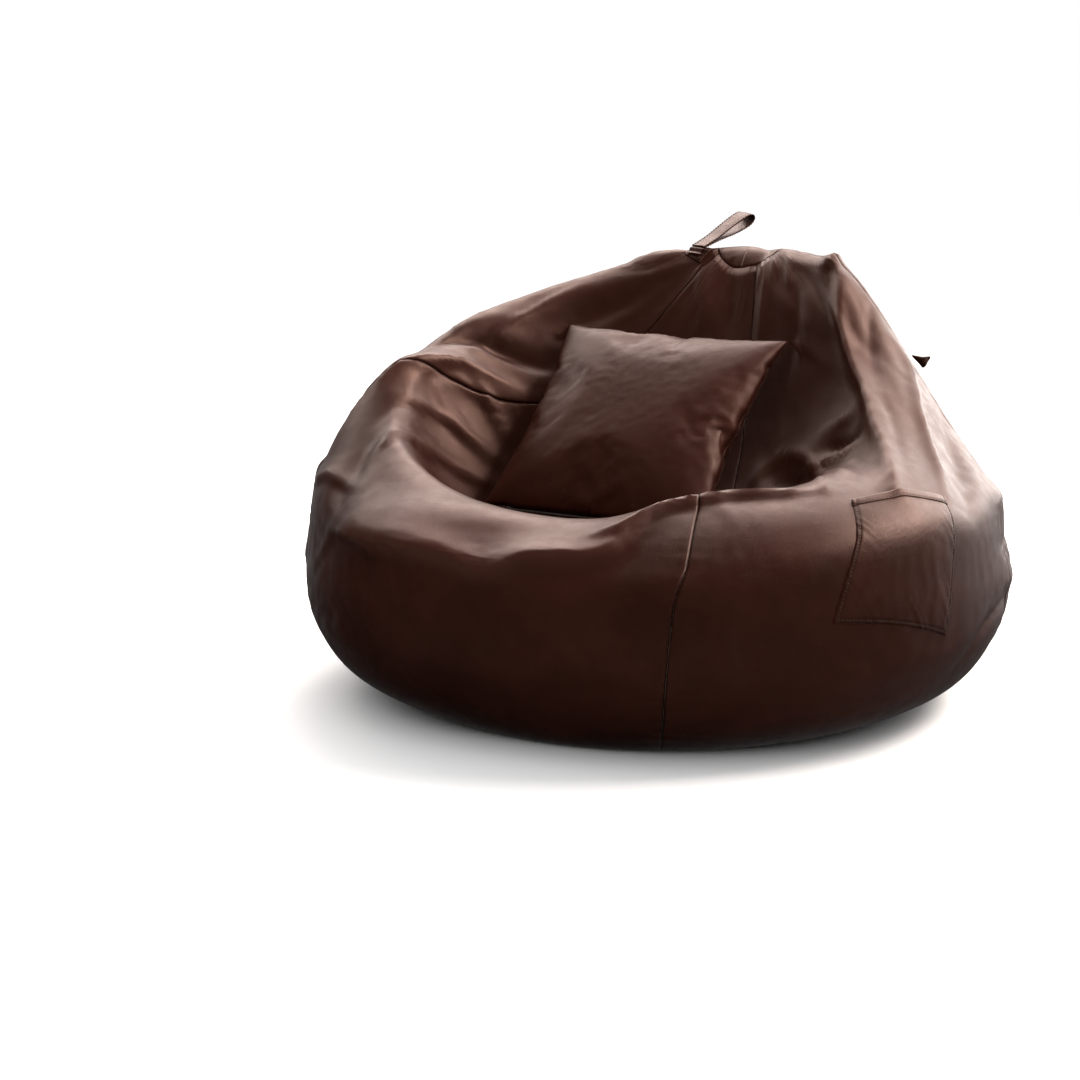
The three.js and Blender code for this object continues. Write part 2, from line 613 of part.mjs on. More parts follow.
// The pillow's own zip, just outside its lower edge.
const zipEdge = -PILLOW.side / 2 + PILLOW.cornerPinch * 0.1;
const pillowZipY = zipEdge - PILLOW_ZIP.thick / 2 - PILLOW_ZIP.below;
add(
  "pillow_zip",
  box(PILLOW_ZIP.length, PILLOW_ZIP.thick, PILLOW_ZIP.width / 2, 0, pillowZipY, 0),
  "tape",
  pillow,
);
const pillowSliderX = PILLOW_ZIP.length / 2 - PILLOW_ZIP.slider;
const pillowSliderY = pillowZipY - PILLOW_ZIP.thick / 2 - CLEAR - 1;
add(
  "pillow_zip_slider",
  box(PILLOW_ZIP.slider, 2, 6, pillowSliderX, pillowSliderY, 0),
  "metal",
  pillow,
);

export default chair;
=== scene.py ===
# Bean bag chair: the looks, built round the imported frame. Metres, +Z up, the seat faces -Y.
import math

import bpy
import numpy as np
from mathutils import Matrix, Vector
from mathutils.bvhtree import BVHTree
from mathutils.kdtree import KDTree


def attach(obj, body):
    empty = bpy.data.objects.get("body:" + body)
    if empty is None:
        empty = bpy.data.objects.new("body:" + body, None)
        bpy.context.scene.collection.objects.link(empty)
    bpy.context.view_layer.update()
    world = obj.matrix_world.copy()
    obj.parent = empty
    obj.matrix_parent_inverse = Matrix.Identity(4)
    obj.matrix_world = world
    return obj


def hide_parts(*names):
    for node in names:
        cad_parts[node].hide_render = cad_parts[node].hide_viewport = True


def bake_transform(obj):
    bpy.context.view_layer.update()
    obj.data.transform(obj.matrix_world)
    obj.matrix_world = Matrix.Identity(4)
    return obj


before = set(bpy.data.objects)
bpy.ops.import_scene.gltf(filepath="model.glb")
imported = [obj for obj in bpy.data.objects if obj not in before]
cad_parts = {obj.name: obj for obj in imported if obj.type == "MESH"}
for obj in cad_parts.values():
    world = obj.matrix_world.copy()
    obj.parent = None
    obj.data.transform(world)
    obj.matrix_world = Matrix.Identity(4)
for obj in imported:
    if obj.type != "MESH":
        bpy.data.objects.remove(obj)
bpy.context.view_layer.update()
scene = bpy.context.scene

# === Camera, lights and floor ===
VIEW_AZIMUTH = math.radians(28)
VIEW_ELEVATION = math.radians(12)
VIEW_DISTANCE = 4.08
VIEW_SIDE_STEP = -0.184
VIEW_HEIGHT = 0.2355
WORLD_FRONT, WORLD_BACK, WORLD_ABOVE = 0.03, 1.0, 0.05
FLOOR_SIDE, FLOOR_BELOW = 18.0, 0.0006


def make_camera():
    across = Vector((math.cos(VIEW_AZIMUTH), math.sin(VIEW_AZIMUTH), 0))
    level = math.cos(VIEW_ELEVATION)
    back = Vector((across.y * level, -across.x * level, math.sin(VIEW_ELEVATION)))
    target = across * VIEW_SIDE_STEP + Vector((0, 0, VIEW_HEIGHT))
    camera = bpy.data.objects.new("camera", bpy.data.cameras.new("camera"))
    scene.collection.objects.link(camera)
    camera.data.lens = 85
    camera.data.sensor_width = 36
    camera.location = target + back * VIEW_DISTANCE
    camera.rotation_mode = "QUATERNION"
    camera.rotation_quaternion = (-back).to_track_quat("-Z", "Y")
    scene.camera = camera


def area_light(name, place, aim, size, power, colour=(1, 1, 1), in_gloss=True):
    light = bpy.data.lights.new(name, "AREA")
    light.shape = "RECTANGLE"
    light.size, light.size_y = size
    light.energy = power
    light.color = colour
    lamp = bpy.data.objects.new(name, light)
    scene.collection.objects.link(lamp)
    lamp.location = place
    lamp.rotation_mode = "QUATERNION"
    lamp.rotation_quaternion = (Vector(aim) - Vector(place)).to_track_quat("-Z", "Y")
    lamp.visible_glossy = in_gloss


def make_lights():
    """A white studio whose bright side is behind the chair, with soft lamps."""
    world = bpy.data.worlds.new("studio")
    nodes = Nodes(world)
    split = nodes.add("SeparateXYZ", {0: nodes.add("TexCoord", {}, "Generated")}).outputs
    sides = nodes.spread(split["Y"], 0.30, 0.85, WORLD_FRONT, WORLD_BACK)
    above = nodes.spread(split["Z"], 0.45, 0.90, 1.0, WORLD_ABOVE)
    low = nodes.spread(split["Z"], -0.35, -0.02, 0.15, 1.0)
    strength = nodes.combined("MULTIPLY", nodes.combined("MULTIPLY", sides, above), low)
    in_camera = nodes.add("LightPath", {}, "Is Camera Ray")
    wall = nodes.add("Mix", {"Factor": in_camera, "A": strength, "B": 1.0}, "Result")
    background = nodes.tree.nodes["Background"].inputs
    nodes.feed(background["Strength"], wall)
    nodes.feed(background["Color"], (1, 1, 1))
    scene.world = world
    warm = (1, 0.88, 0.81)
    area_light("window_behind", (-0.9, 2.3, 2.9), (0, 0, 0.3), (2.5, 2.0), 132, (1, 0.87, 0.80))
    area_light("right_rear", (0.8, 3.0, 1.3), (0.35, 0, 0.35), (1.8, 1.8), 62, (1, 0.92, 0.87))
    area_light("right_high", (1.9, 1.5, 2.5), (0.35, 0.2, 0.5), (1.5, 1.5), 150, warm)
    area_light("left_rear", (-2.3, 1.3, 1.9), (-0.3, 0, 0.3), (1.4, 0.8), 20, warm)
    area_light("ceiling", (0, 0, 8), (0, 0, 0), (40, 40), 6600, (1, 1, 1), False)
    scene.view_settings.view_transform = "Standard"


def make_floor():
    half = FLOOR_SIDE / 2
    corners = [(-half, -half, 0), (half, -half, 0), (half, half, 0), (-half, half, 0)]
    floor = mesh_object("floor", corners, [(0, 1, 2, 3)])
    floor.location.z = -FLOOR_BELOW
    paint = Paint("floor_white")
    paint.finish((0.93, 0.93, 0.93), 0.7)
    floor.data.materials.append(paint.material)
    floor.visible_glossy = False


# === Mesh and material helpers ===
def mesh_object(name, points, faces):
    mesh = bpy.data.meshes.new(name)
    mesh.from_pydata([tuple(p) for p in points], [], faces)
    mesh.validate()
    made = bpy.data.objects.new(name, mesh)
    scene.collection.objects.link(made)
    mesh.shade_smooth()
    return made


def apply_modifiers(piece):
    graph = bpy.context.evaluated_depsgraph_get()
    mesh = bpy.data.meshes.new_from_object(piece.evaluated_get(graph), depsgraph=graph)
    old = piece.data
    piece.modifiers.clear()
    piece.data = mesh
    bpy.data.meshes.remove(old)
    return piece


def numbered(rows, columns):
    """Vertex numbers of a grid of points."""
    return np.arange(rows * columns).reshape(rows, columns)


def two_sides(first, second):
    """Quads over two grids of vertex numbers, the second turned over."""
    return grid_faces(first) + [face[::-1] for face in grid_faces(second)]


def closed_sides(number, rim):
    """Quads over two equal grids of points, one after the other, joined along their rim."""
    size = number.size
    faces = two_sides(number, number + size)
    for k, m in zip(rim, np.roll(rim, -1)):
        faces.append((int(m), int(k), int(k) + size, int(m) + size))
    return faces


def rim_of(number):
    """The vertex numbers round a grid's rim."""
    return np.concatenate([number[0], number[1:, -1], number[-1, -2::-1], number[-2:0:-1, 0]])


def ring_faces(rings, sides, base=0, closed=False):
    """Faces round rings of points, one after the other, with a cap at each end unless closed."""
    faces = []
    for ring in range(rings if closed else rings - 1):
        low, high = base + ring * sides, base + (ring + 1) % rings * sides
        for k in range(sides):
            m = (k + 1) % sides
            faces.append((low + k, low + m, high + m, high + k))
    if not closed:
        last = base + (rings - 1) * sides
        faces.append(tuple(range(base + sides - 1, base - 1, -1)))
        faces.append(tuple(range(last, last + sides)))
    return faces


def arc_lengths(points):
    """Distance of each point along a line from its first."""
    return np.concatenate([[0], np.cumsum(np.linalg.norm(np.diff(points, axis=0), axis=1))])


def at_lengths(lengths, arc, values):
    """Values along a line, each at its arc length, looked up at other lengths."""
    return np.stack([np.interp(lengths, arc, values[:, k]) for k in range(values.shape[1])], -1)


def solidify(piece, thickness):
    """Gives a sheet its thickness, inwards from its outer side."""
    modifier = piece.modifiers.new("thick", "SOLIDIFY")
    modifier.thickness = thickness
    modifier.offset = -1.0
    return apply_modifiers(piece)


def coordinates(mesh):
    values = np.empty(len(mesh.vertices) * 3)
    mesh.vertices.foreach_get("co", values)
    return values.reshape(-1, 3)


def finish_piece(piece, body, slot, material, *replaced):
    if not piece.data.materials:
        piece.data.materials.append(material)
    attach(piece, body)
    if replaced:
        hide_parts(*replaced)


# === The filled bag's own shape, as in the frame: one value every 30 degrees from the front ===
BELLY_RADIUS = [0.500, 0.510, 0.540, 0.555, 0.560, 0.560, 0.560, 0.560, 0.560, 0.560, 0.560, 0.540]
SHOULDER_RADIUS = [0.465, 0.475, 0.500, 0.520, 0.525, 0.520, 0.510, 0.510, 0.520, 0.530, 0.540, 0.515]
SHOULDER_HEIGHT = [0.290, 0.300, 0.335, 0.345, 0.350, 0.360, 0.370, 0.375, 0.370, 0.355, 0.345, 0.315]
RIM_RADIUS = [0.345, 0.350, 0.370, 0.370, 0.375, 0.370, 0.370, 0.385, 0.405, 0.415, 0.420, 0.390]
RIM_HEIGHT = [0.335, 0.362, 0.385, 0.410, 0.505, 0.650, 0.674, 0.636, 0.572, 0.530, 0.440, 0.370]
BOWL_RADIUS = [0.185, 0.182, 0.186, 0.190, 0.190, 0.200, 0.200, 0.200, 0.205, 0.245, 0.280, 0.240]
BOWL_HEIGHT = [0.234, 0.248, 0.277, 0.300, 0.360, 0.450, 0.480, 0.445, 0.383, 0.312, 0.238, 0.220]
BASE_RADIUS = 0.385
BASE_TANGENT_RADIUS = 0.300
LOW_HEIGHT, LOW_INSET = 0.055, 0.055
BELLY_HEIGHT = 0.165
WAIST_HEIGHT, WAIST_INSET = 0.255, 0.004
SEAT_CENTRE_HEIGHT = 0.296
SPANS = 7
CAP_EDGE, CAP_PULL, CAP_PULL_POWER = 0.955, 0.3197, 2.5
PANELS = {
    "front_panel": (-57, 27),
    "right_front_panel": (27, 102),
    "right_rear_panel": (102, 155),
    "rear_right_panel": (155, 180),
    "rear_left_panel": (180, 205),
    "left_rear_panel": (205, 252),
    "left_front_panel": (252, 303),
}


def around(values, azimuth):
    """Values between the meridians, smooth all the way round."""
    values = np.asarray(values)
    x = np.mod(azimuth, 360) / 30
    i = np.floor(x).astype(int)
    t = x - i
    a, b, c, d = (values[(i + k) % 12] for k in (-1, 0, 1, 2))
    cubic = (-a + 3 * b - 3 * c + d) * t**3
    return 0.5 * (2 * b + (c - a) * t + (2 * a - 5 * b + 4 * c - d) * t * t + cubic)


def knots(azimuth):
    belly = around(BELLY_RADIUS, azimuth)
    flat = np.zeros_like(belly)
    rows = [
        (flat + BASE_TANGENT_RADIUS, flat),
        (flat + BASE_RADIUS, flat),
        (belly - LOW_INSET, flat + LOW_HEIGHT),
        (belly, flat + BELLY_HEIGHT),
        (belly - WAIST_INSET, flat + WAIST_HEIGHT),
        (around(SHOULDER_RADIUS, azimuth), around(SHOULDER_HEIGHT, azimuth)),
        (around(RIM_RADIUS, azimuth), around(RIM_HEIGHT, azimuth)),
        (around(BOWL_RADIUS, azimuth), around(BOWL_HEIGHT, azimuth)),
        (flat, flat + SEAT_CENTRE_HEIGHT),
        (-around(BOWL_RADIUS, azimuth + 180), around(BOWL_HEIGHT, azimuth + 180)),
    ]
    return np.array([np.stack(row, -1) for row in rows])


def surface(azimuth, s):
    """Points of the surface: s runs from 0 at the base edge to 1 in the middle of the seat."""
    azimuth, s = np.broadcast_arrays(np.asarray(azimuth, float), np.asarray(s, float))
    shape = azimuth.shape
    azimuth, s = azimuth.ravel(), s.ravel()
    x = np.clip(s, 0, 1) * SPANS
    i = np.minimum(x.astype(int), SPANS - 1)
    f = (x - i)[:, None]
    rows = knots(azimuth)
    each = np.arange(len(i))
    p = [rows[i + k, each] for k in range(4)]
    step = [np.sqrt(np.linalg.norm(p[k + 1] - p[k], axis=1))[:, None] for k in range(3)]
    knot = [0, step[0], step[0] + step[1], step[0] + step[1] + step[2]]
    t = knot[1] + step[1] * f

    def mix(a, b, start, stop):
        return a + (b - a) * (t - start) / (stop - start)

    a, b, c = (mix(p[k], p[k + 1], knot[k], knot[k + 1]) for k in range(3))
    ab = mix(a, b, knot[0], knot[2])
    bc = mix(b, c, knot[1], knot[3])
    r = mix(ab, bc, knot[1], knot[2])
    turn = np.radians(azimuth)
    points = np.stack([r[:, 0] * np.sin(turn), -r[:, 0] * np.cos(turn), r[:, 1]], -1)
    return points.reshape(shape + (3,))


def from_disc(x, y):
    """The surface laid out as a flat disc: the base edge is its rim, the seat's middle its centre."""
    return surface(np.degrees(np.arctan2(x, -y)), 1 - np.hypot(x, y))


def skin(x, y):
    """Points of the surface and their outward normals, from places on the disc."""
    x, y = np.asarray(x, float), np.asarray(y, float)
    step = 1e-3
    across = from_disc(x + step, y) - from_disc(x - step, y)
    along = from_disc(x, y + step) - from_disc(x, y - step)
    normal = np.cross(across, along)
    normal /= np.linalg.norm(normal, axis=-1, keepdims=True)
    return from_disc(x, y), normal


def on_panel(azimuth, t):
    """Disc places on a panel: azimuth of a column at the base, t from the base edge to the cap."""
    turn = np.radians(azimuth)
    return (1 - t) * np.sin(turn), -(1 - t) * np.cos(turn) + CAP_PULL * t**CAP_PULL_POWER


def on_meridian(azimuth, s):
    turn = np.radians(azimuth)
    return (1 - s) * np.sin(turn), -(1 - s) * np.cos(turn)


# === Folds of the cover ===
# Places along each fold as (azimuth, s), its height outwards, its width on the left and on the right,
# and how sharp its crest is: 2 is round, 1.2 is a crease.
FOLDS = {
    # left arm: a fold whose sharp rear edge drops into a dark valley, and creases towards the seat
    "arm_body": (
        [(300, 0.60), (290, 0.66), (280, 0.72), (268, 0.757), (258, 0.79)],
        0.020, 0.020, 0.055, 1.8,
    ),
    "arm_edge": (
        [(288, 0.690), (277, 0.735), (268, 0.757), (262, 0.775), (256, 0.79)],
        0.014, 0.006, 0.022, 1.2,
    ),
    "arm_valley": ([(272, 0.715), (261, 0.738), (252, 0.768), (245, 0.79)], -0.022, 0.026, 0.012, 1.6),
    "rear_rim": (
        [(262, 0.712), (250, 0.712), (238, 0.705), (222, 0.700), (208, 0.705)],
        0.020, 0.034, 0.044, 2.0,
    ),
    "rear_rim_edge": ([(266, 0.752), (251, 0.747), (237, 0.738), (226, 0.730)], 0.009, 0.006, 0.016, 1.2),
    "arm_crease_1": ([(291, 0.733), (282, 0.775), (276, 0.805), (273, 0.824)], 0.010, 0.020, 0.007, 1.3),
    "arm_crease_2": ([(266, 0.771), (265, 0.792), (265, 0.825)], 0.010, 0.012, 0.007, 1.3),
    "arm_crease_3": ([(312, 0.665), (301, 0.750), (290, 0.790), (279, 0.835)], 0.011, 0.022, 0.006, 1.2),
    "arm_crease_4": ([(300, 0.690), (293, 0.735), (286, 0.785)], -0.006, 0.012, 0.008, 1.4),
    "arm_dent": ([(320, 0.56), (312, 0.63), (300, 0.70)], -0.012, 0.030, 0.030, 1.8),
    "arm_low_crease": ([(300, 0.56), (307, 0.60), (318, 0.62)], 0.007, 0.016, 0.008, 1.3),
    # front lip: a plane that rises from the seat, then a sharp turn down into the belly
    "lip_plane": ([(322, 0.59), (335, 0.62), (347, 0.66), (0, 0.69), (12, 0.67)], 0.008, 0.050, 0.045, 2.0),
    "lip_left": (
        [(322, 0.525), (331, 0.532), (339, 0.545), (345, 0.550), (350, 0.530), (355, 0.497)],
        0.028, 0.048, 0.012, 1.3,
    ),
    "lip_middle": (
        [(355, 0.497), (358, 0.540), (1, 0.582), (7, 0.592), (14, 0.600), (21, 0.640)],
        0.024, 0.046, 0.012, 1.3,
    ),
    "lip_right": (
        [(14, 0.640), (20, 0.662), (27, 0.697), (38, 0.712), (50, 0.708), (58, 0.690)],
        0.018, 0.026, 0.008, 1.2,
    ),
    "lip_v_side": ([(335, 0.560), (341, 0.530), (347, 0.495)], 0.006, 0.014, 0.006, 1.3),
    # tent fold from the crest's right corner down to the pocket
    "tent_edge": (
        [(153, 0.722), (146, 0.736), (139, 0.753), (130, 0.757), (114, 0.746), (94, 0.716), (76, 0.640)],
        0.033, 0.030, 0.015, 1.25,
    ),
    "tent_plane": (
        [(140, 0.700), (127, 0.712), (111, 0.706), (94, 0.680), (82, 0.630)],
        0.004, 0.022, 0.022, 1.8,
    ),
    "tent_groove": (
        [(138, 0.712), (127, 0.732), (111, 0.728), (97, 0.700), (84, 0.655)],
        -0.005, 0.006, 0.010, 1.3,
    ),
    "tent_boundary": (
        [(131, 0.693), (123, 0.684), (110, 0.681), (98, 0.651), (87, 0.600)],
        0.009, 0.006, 0.012, 1.2,
    ),
    "tent_behind": ([(118, 0.640), (108, 0.630), (98, 0.605), (90, 0.570)], -0.018, 0.024, 0.034, 1.8),
    "tent_pleat": ([(120, 0.735), (106, 0.725), (95, 0.70)], 0.005, 0.006, 0.012, 1.2),
    # right arm
    "right_hollow": ([(112, 0.860), (106, 0.842), (100, 0.825)], -0.010, 0.022, 0.020, 1.8),
    "right_arc": (
        [(109, 0.894), (120, 0.869), (119, 0.840), (107, 0.814), (84, 0.770), (64, 0.687)],
        0.011, 0.020, 0.009, 1.3,
    ),
    "right_spear": ([(104, 0.822), (100, 0.802), (96, 0.771), (97, 0.745)], 0.016, 0.012, 0.006, 1.2),
    "right_dart": ([(108, 0.795), (103, 0.775), (101, 0.750)], -0.011, 0.010, 0.012, 1.4),
    "right_crease_1": ([(116, 0.800), (113, 0.776), (112, 0.758)], 0.008, 0.007, 0.012, 1.3),
    "right_crease_2": ([(86, 0.775), (80, 0.742), (74, 0.700)], 0.008, 0.007, 0.016, 1.2),
    "right_crease_3": ([(76, 0.760), (68, 0.722), (62, 0.670)], 0.007, 0.006, 0.014, 1.2),
    "right_arm_dent": ([(90, 0.745), (82, 0.712), (74, 0.670)], -0.008, 0.012, 0.014, 1.6),
    # crest: its bumps and the gathers below them, and the soft folds of the back wall
    "crest_left": ([(212, 0.705), (204, 0.715), (196, 0.725)], 0.016, 0.034, 0.030, 1.8),
    "crest_dip": ([(176, 0.700), (174, 0.728), (174, 0.760)], -0.009, 0.014, 0.020, 1.6),
    "crest_right": ([(156, 0.690), (154, 0.715), (153, 0.738)], 0.013, 0.014, 0.016, 1.4),
    "crest_gather_1": ([(170, 0.735), (169, 0.755), (167, 0.775)], 0.004, 0.004, 0.006, 1.3),
    "crest_gather_2": ([(173, 0.735), (173, 0.758), (172, 0.780)], 0.004, 0.005, 0.004, 1.3),
    "crest_gather_3": ([(166, 0.735), (164, 0.755), (161, 0.770)], 0.004, 0.006, 0.004, 1.3),
    "wall_fold_1": ([(193, 0.748), (191, 0.780), (187, 0.812)], 0.010, 0.026, 0.010, 1.5),
    "wall_fold_2": ([(184, 0.745), (181, 0.785), (176, 0.825)], -0.010, 0.018, 0.020, 1.6),
    "wall_fold_3": ([(172, 0.750), (168, 0.790), (162, 0.830)], 0.008, 0.018, 0.012, 1.5),
    "wall_fold_4": ([(160, 0.755), (152, 0.790), (144, 0.825)], -0.008, 0.016, 0.018, 1.6),
    "wall_band": ([(240, 0.770), (226, 0.765), (212, 0.770)], -0.010, 0.026, 0.030, 1.8),
    # the sides, where the cover bulges between its stitched places
    "left_bulge_1": ([(284, 0.56), (290, 0.575), (297, 0.57)], 0.009, 0.020, 0.022, 1.8),
    "left_bulge_2": ([(284, 0.46), (291, 0.47), (298, 0.47)], -0.008, 0.018, 0.018, 1.8),
    "left_bulge_3": ([(284, 0.36), (291, 0.37), (298, 0.37)], 0.007, 0.024, 0.024, 1.8),
    "right_bulge_1": ([(104, 0.54), (112, 0.53), (122, 0.52)], 0.010, 0.026, 0.026, 1.8),
    "right_bulge_2": ([(100, 0.45), (110, 0.44), (120, 0.43)], -0.008, 0.018, 0.018, 1.8),
    "right_bulge_3": ([(98, 0.36), (108, 0.35), (118, 0.34)], 0.007, 0.022, 0.022, 1.8),
    "rear_crease_1": ([(132, 0.24), (140, 0.40), (150, 0.56)], -0.010, 0.030, 0.014, 1.4),
    "rear_crease_2": ([(226, 0.26), (222, 0.42), (214, 0.58)], -0.010, 0.014, 0.030, 1.4),
    "rear_crease_3": ([(252, 0.36), (240, 0.50), (228, 0.62)], 0.010, 0.030, 0.012, 1.4),
    "rear_crease_4": ([(262, 0.56), (248, 0.60), (234, 0.62)], 0.008, 0.010, 0.024, 1.4),
    "rear_crease_5": ([(168, 0.30), (162, 0.42), (160, 0.54)], 0.008, 0.012, 0.024, 1.5),
    "rear_crease_6": ([(196, 0.26), (199, 0.38), (198, 0.52)], 0.008, 0.022, 0.012, 1.5),
    "right_crease_low": ([(84, 0.22), (94, 0.30), (108, 0.32)], -0.008, 0.020, 0.012, 1.5),
}


FOLD_CUTOFF = 3.5


def fold_line(places, spacing=0.006):
    """Points, outward normals and sideways directions along a fold, evenly spaced."""
    fine = np.linspace(0, 1, 200)
    x, y = zip(*(on_meridian(azimuth, s) for azimuth, s in places))
    points, normals = skin(*(smooth_through(np.array(v), fine) for v in (x, y)))
    arc = arc_lengths(points)
    even = np.linspace(0, arc[-1], max(6, int(arc[-1] / spacing)))
    points, normals = at_lengths(even, arc, points), at_lengths(even, arc, normals)
    side = np.cross(np.gradient(points, axis=0), normals)
    side /= np.linalg.norm(side, axis=1, keepdims=True)
    return points, normals, side


def smooth_through(values, fine):
    """A Catmull-Rom curve through evenly spaced values."""
    padded = np.concatenate([[2 * values[0] - values[1]], values, [2 * values[-1] - values[-2]]])
    x = fine * (len(values) - 1)
    i = np.minimum(x.astype(int), len(values) - 2)
    t = x - i
    a, b, c, d = (padded[i + k] for k in range(4))
    cubic = (-a + 3 * b - 3 * c + d) * t**3
    return 0.5 * (2 * b + (c - a) * t + (2 * a - 5 * b + 4 * c - d) * t * t + cubic)


def fold_heights(points):
    """How far outwards the folds push each point of the cover."""
    total = np.zeros(len(points))
    for places, height, left, right, power in FOLDS.values():
        line, _, side = fold_line(places)
        reach = FOLD_CUTOFF * max(left, right)
        low, high = line.min(axis=0) - reach, line.max(axis=0) + reach
        near = np.where(((points > low) & (points < high)).all(axis=1))[0]
        if not len(near):
            continue
        gap = points[near][:, None, :] - line[None]
        distance = np.linalg.norm(gap, axis=2)
        nearest = distance.argmin(axis=1)
        row = np.arange(len(near))
        distance = distance[row, nearest]
        sideways = np.einsum("ij,ij->i", gap[row, nearest], side[nearest])
        turned = np.clip(1.4 * sideways / (distance + 1e-6), -1, 1)
        width = left + (right - left) * (0.5 + 0.5 * np.sin(turned * math.pi / 2))
        share = nearest / (len(line) - 1)
        taper = np.sin(np.pi * np.clip(0.06 + 0.88 * share, 0, 1)) ** 0.7
        total[near] += height * taper * np.exp(-((distance / width) ** power))
    return total


# === The cover settles over its filling by cloth simulation ===
SIM_VOXEL = 0.0115
SIM_FRAMES = 22
SIM_SLACK = 0.07
SIM_GRAVITY = 0.35
FILL_INSET = 0.012
# the cloth is held below this height, less and less towards it
HELD_HEIGHT, HELD_FADE = 0.09, 0.08
HELD_ROUND_CAP = 0.05
NEIGHBOURS = 7
# where the cover is loose: (azimuth, s), reach, share of the slack
LOOSE_PLACES = [
    ((283, 0.76), 0.17, 1.0),
    ((300, 0.70), 0.13, 0.7),
    ((92, 0.75), 0.15, 1.0),
    ((118, 0.78), 0.12, 0.8),
    ((350, 0.64), 0.16, 0.6),
    ((180, 0.78), 0.14, 0.7),
    ((215, 0.60), 0.20, 0.6),
    ((140, 0.50), 0.20, 0.7),
    ((250, 0.50), 0.18, 0.5),
    ((300, 0.45), 0.16, 0.4),
    ((112, 0.45), 0.16, 0.6),
]
ALL_OVER_SLACK = 0.12


def macro_mesh(name, inset=0.0, columns=168, rows=92):
    """The whole bag as one closed mesh, its surface moved in by inset."""
    points, normals = skin(*ring_places(columns, rows))
    normals[0] = (0, 0, -1)
    points, normals = with_ends(points, normals, skin(*SEAT_CENTRE))
    heights = fold_heights(points)
    heights[-1] = 0
    points = points + normals * (heights - inset)[:, None]
    points[:, 2] = np.maximum(points[:, 2], inset)
    return mesh_object(name, points, closed_faces(columns, rows))


SEAT_CENTRE = (np.array([0.0]), np.array([1e-4]))


def ring_places(columns, rows):
    """Disc places in rings, from the base edge to just outside the seat's middle."""
    turn = np.linspace(0, 2 * math.pi, columns, endpoint=False)
    radius = np.linspace(1 - 1e-5, 1 / rows, rows)
    r, a = np.meshgrid(radius, turn, indexing="ij")
    return r * np.sin(a), -r * np.cos(a)


def with_ends(points, normals, centre):
    """Rings of points and their normals, followed by the seat's middle and the base's."""
    points = np.concatenate([points.reshape(-1, 3), centre[0], [[0, 0, 0]]])
    return points, np.concatenate([normals.reshape(-1, 3), centre[1], [[0, 0, -1]]])


def closed_faces(columns, rows):
    """Faces of rings of points, closed by a top point and then a bottom point."""
    top, bottom = rows * columns, rows * columns + 1
    last = (rows - 1) * columns
    faces = []
    for i in range(columns):
        n = (i + 1) % columns
        for low in range(0, last, columns):
            faces.append((low + i, low + n, low + columns + n, low + columns + i))
        faces += [(last + i, last + n, top), (n, i, bottom)]
    return faces


def vertex_group(piece, name, weights):
    group = piece.vertex_groups.new(name=name)
    for index, weight in enumerate(weights):
        if weight > 0.001:
            group.add([index], float(weight), "REPLACE")


def slack_map(points):
    total = np.full(len(points), ALL_OVER_SLACK)
    for place, reach, share in LOOSE_PLACES:
        centre = np.array(skin(*on_meridian(*place))[0])
        total += share * np.exp(-((np.linalg.norm(points - centre, axis=1) / reach) ** 2))
    return np.clip(total, 0, 1) * np.clip((points[:, 2] - 0.10) / 0.12, 0, 1)


def step_frames(last):
    scene.frame_start, scene.frame_end = 1, last
    for number in range(1, last + 1):
        scene.frame_set(number)


def cloth_settings(piece, last, tension, bending, quality=6):
    cloth = piece.modifiers.new("cloth", "CLOTH")
    settings = cloth.settings
    settings.quality = quality
    settings.tension_stiffness = tension
    settings.compression_stiffness = tension
    settings.shear_stiffness = tension / 2
    settings.bending_stiffness = bending
    settings.tension_damping = 12
    settings.compression_damping = 12
    settings.shear_damping = 8
    settings.bending_damping = 0.6
    settings.air_damping = 2
    cloth.point_cache.frame_start = 1
    cloth.point_cache.frame_end = last
    return cloth


def settle_cover():
    """Runs the cover as cloth over the filling. Returns its points before and how far each moved."""
    cover = macro_mesh("cover_cloth")
    remesh = cover.modifiers.new("even", "REMESH")
    remesh.mode = "VOXEL"
    remesh.voxel_size = SIM_VOXEL
    apply_modifiers(cover)
    start = coordinates(cover.data)
    filling = macro_mesh("filling_body", FILL_INSET, 120, 70)
    filling.modifiers.new("collide", "COLLISION")
    filling.collision.thickness_outer = 0.002
    filling.collision.cloth_friction = 12
    fixed = np.clip((HELD_HEIGHT - start[:, 2]) / HELD_FADE, 0, 1)
    cap = np.array(skin(0.0, CAP_PULL * CAP_EDGE**CAP_PULL_POWER)[0])
    fixed = np.maximum(fixed, np.linalg.norm(start - cap, axis=1) < HELD_ROUND_CAP)
    vertex_group(cover, "fixed", fixed)
    vertex_group(cover, "slack", slack_map(start))
    cloth = cloth_settings(cover, SIM_FRAMES, 60, 1.0)
    settings = cloth.settings
    settings.mass = 0.5
    settings.vertex_group_mass = "fixed"
    settings.pin_stiffness = 1
    settings.shrink_min = 0.0
    settings.shrink_max = -SIM_SLACK
    settings.vertex_group_shrink = "slack"
    settings.effector_weights.gravity = SIM_GRAVITY
    cloth.collision_settings.distance_min = 0.004
    cloth.collision_settings.collision_quality = 2
    cloth.collision_settings.use_self_collision = False
    step_frames(SIM_FRAMES)
    apply_modifiers(cover)
    moved = coordinates(cover.data) - start
    bpy.data.objects.remove(cover)
    bpy.data.objects.remove(filling)
    return start, moved


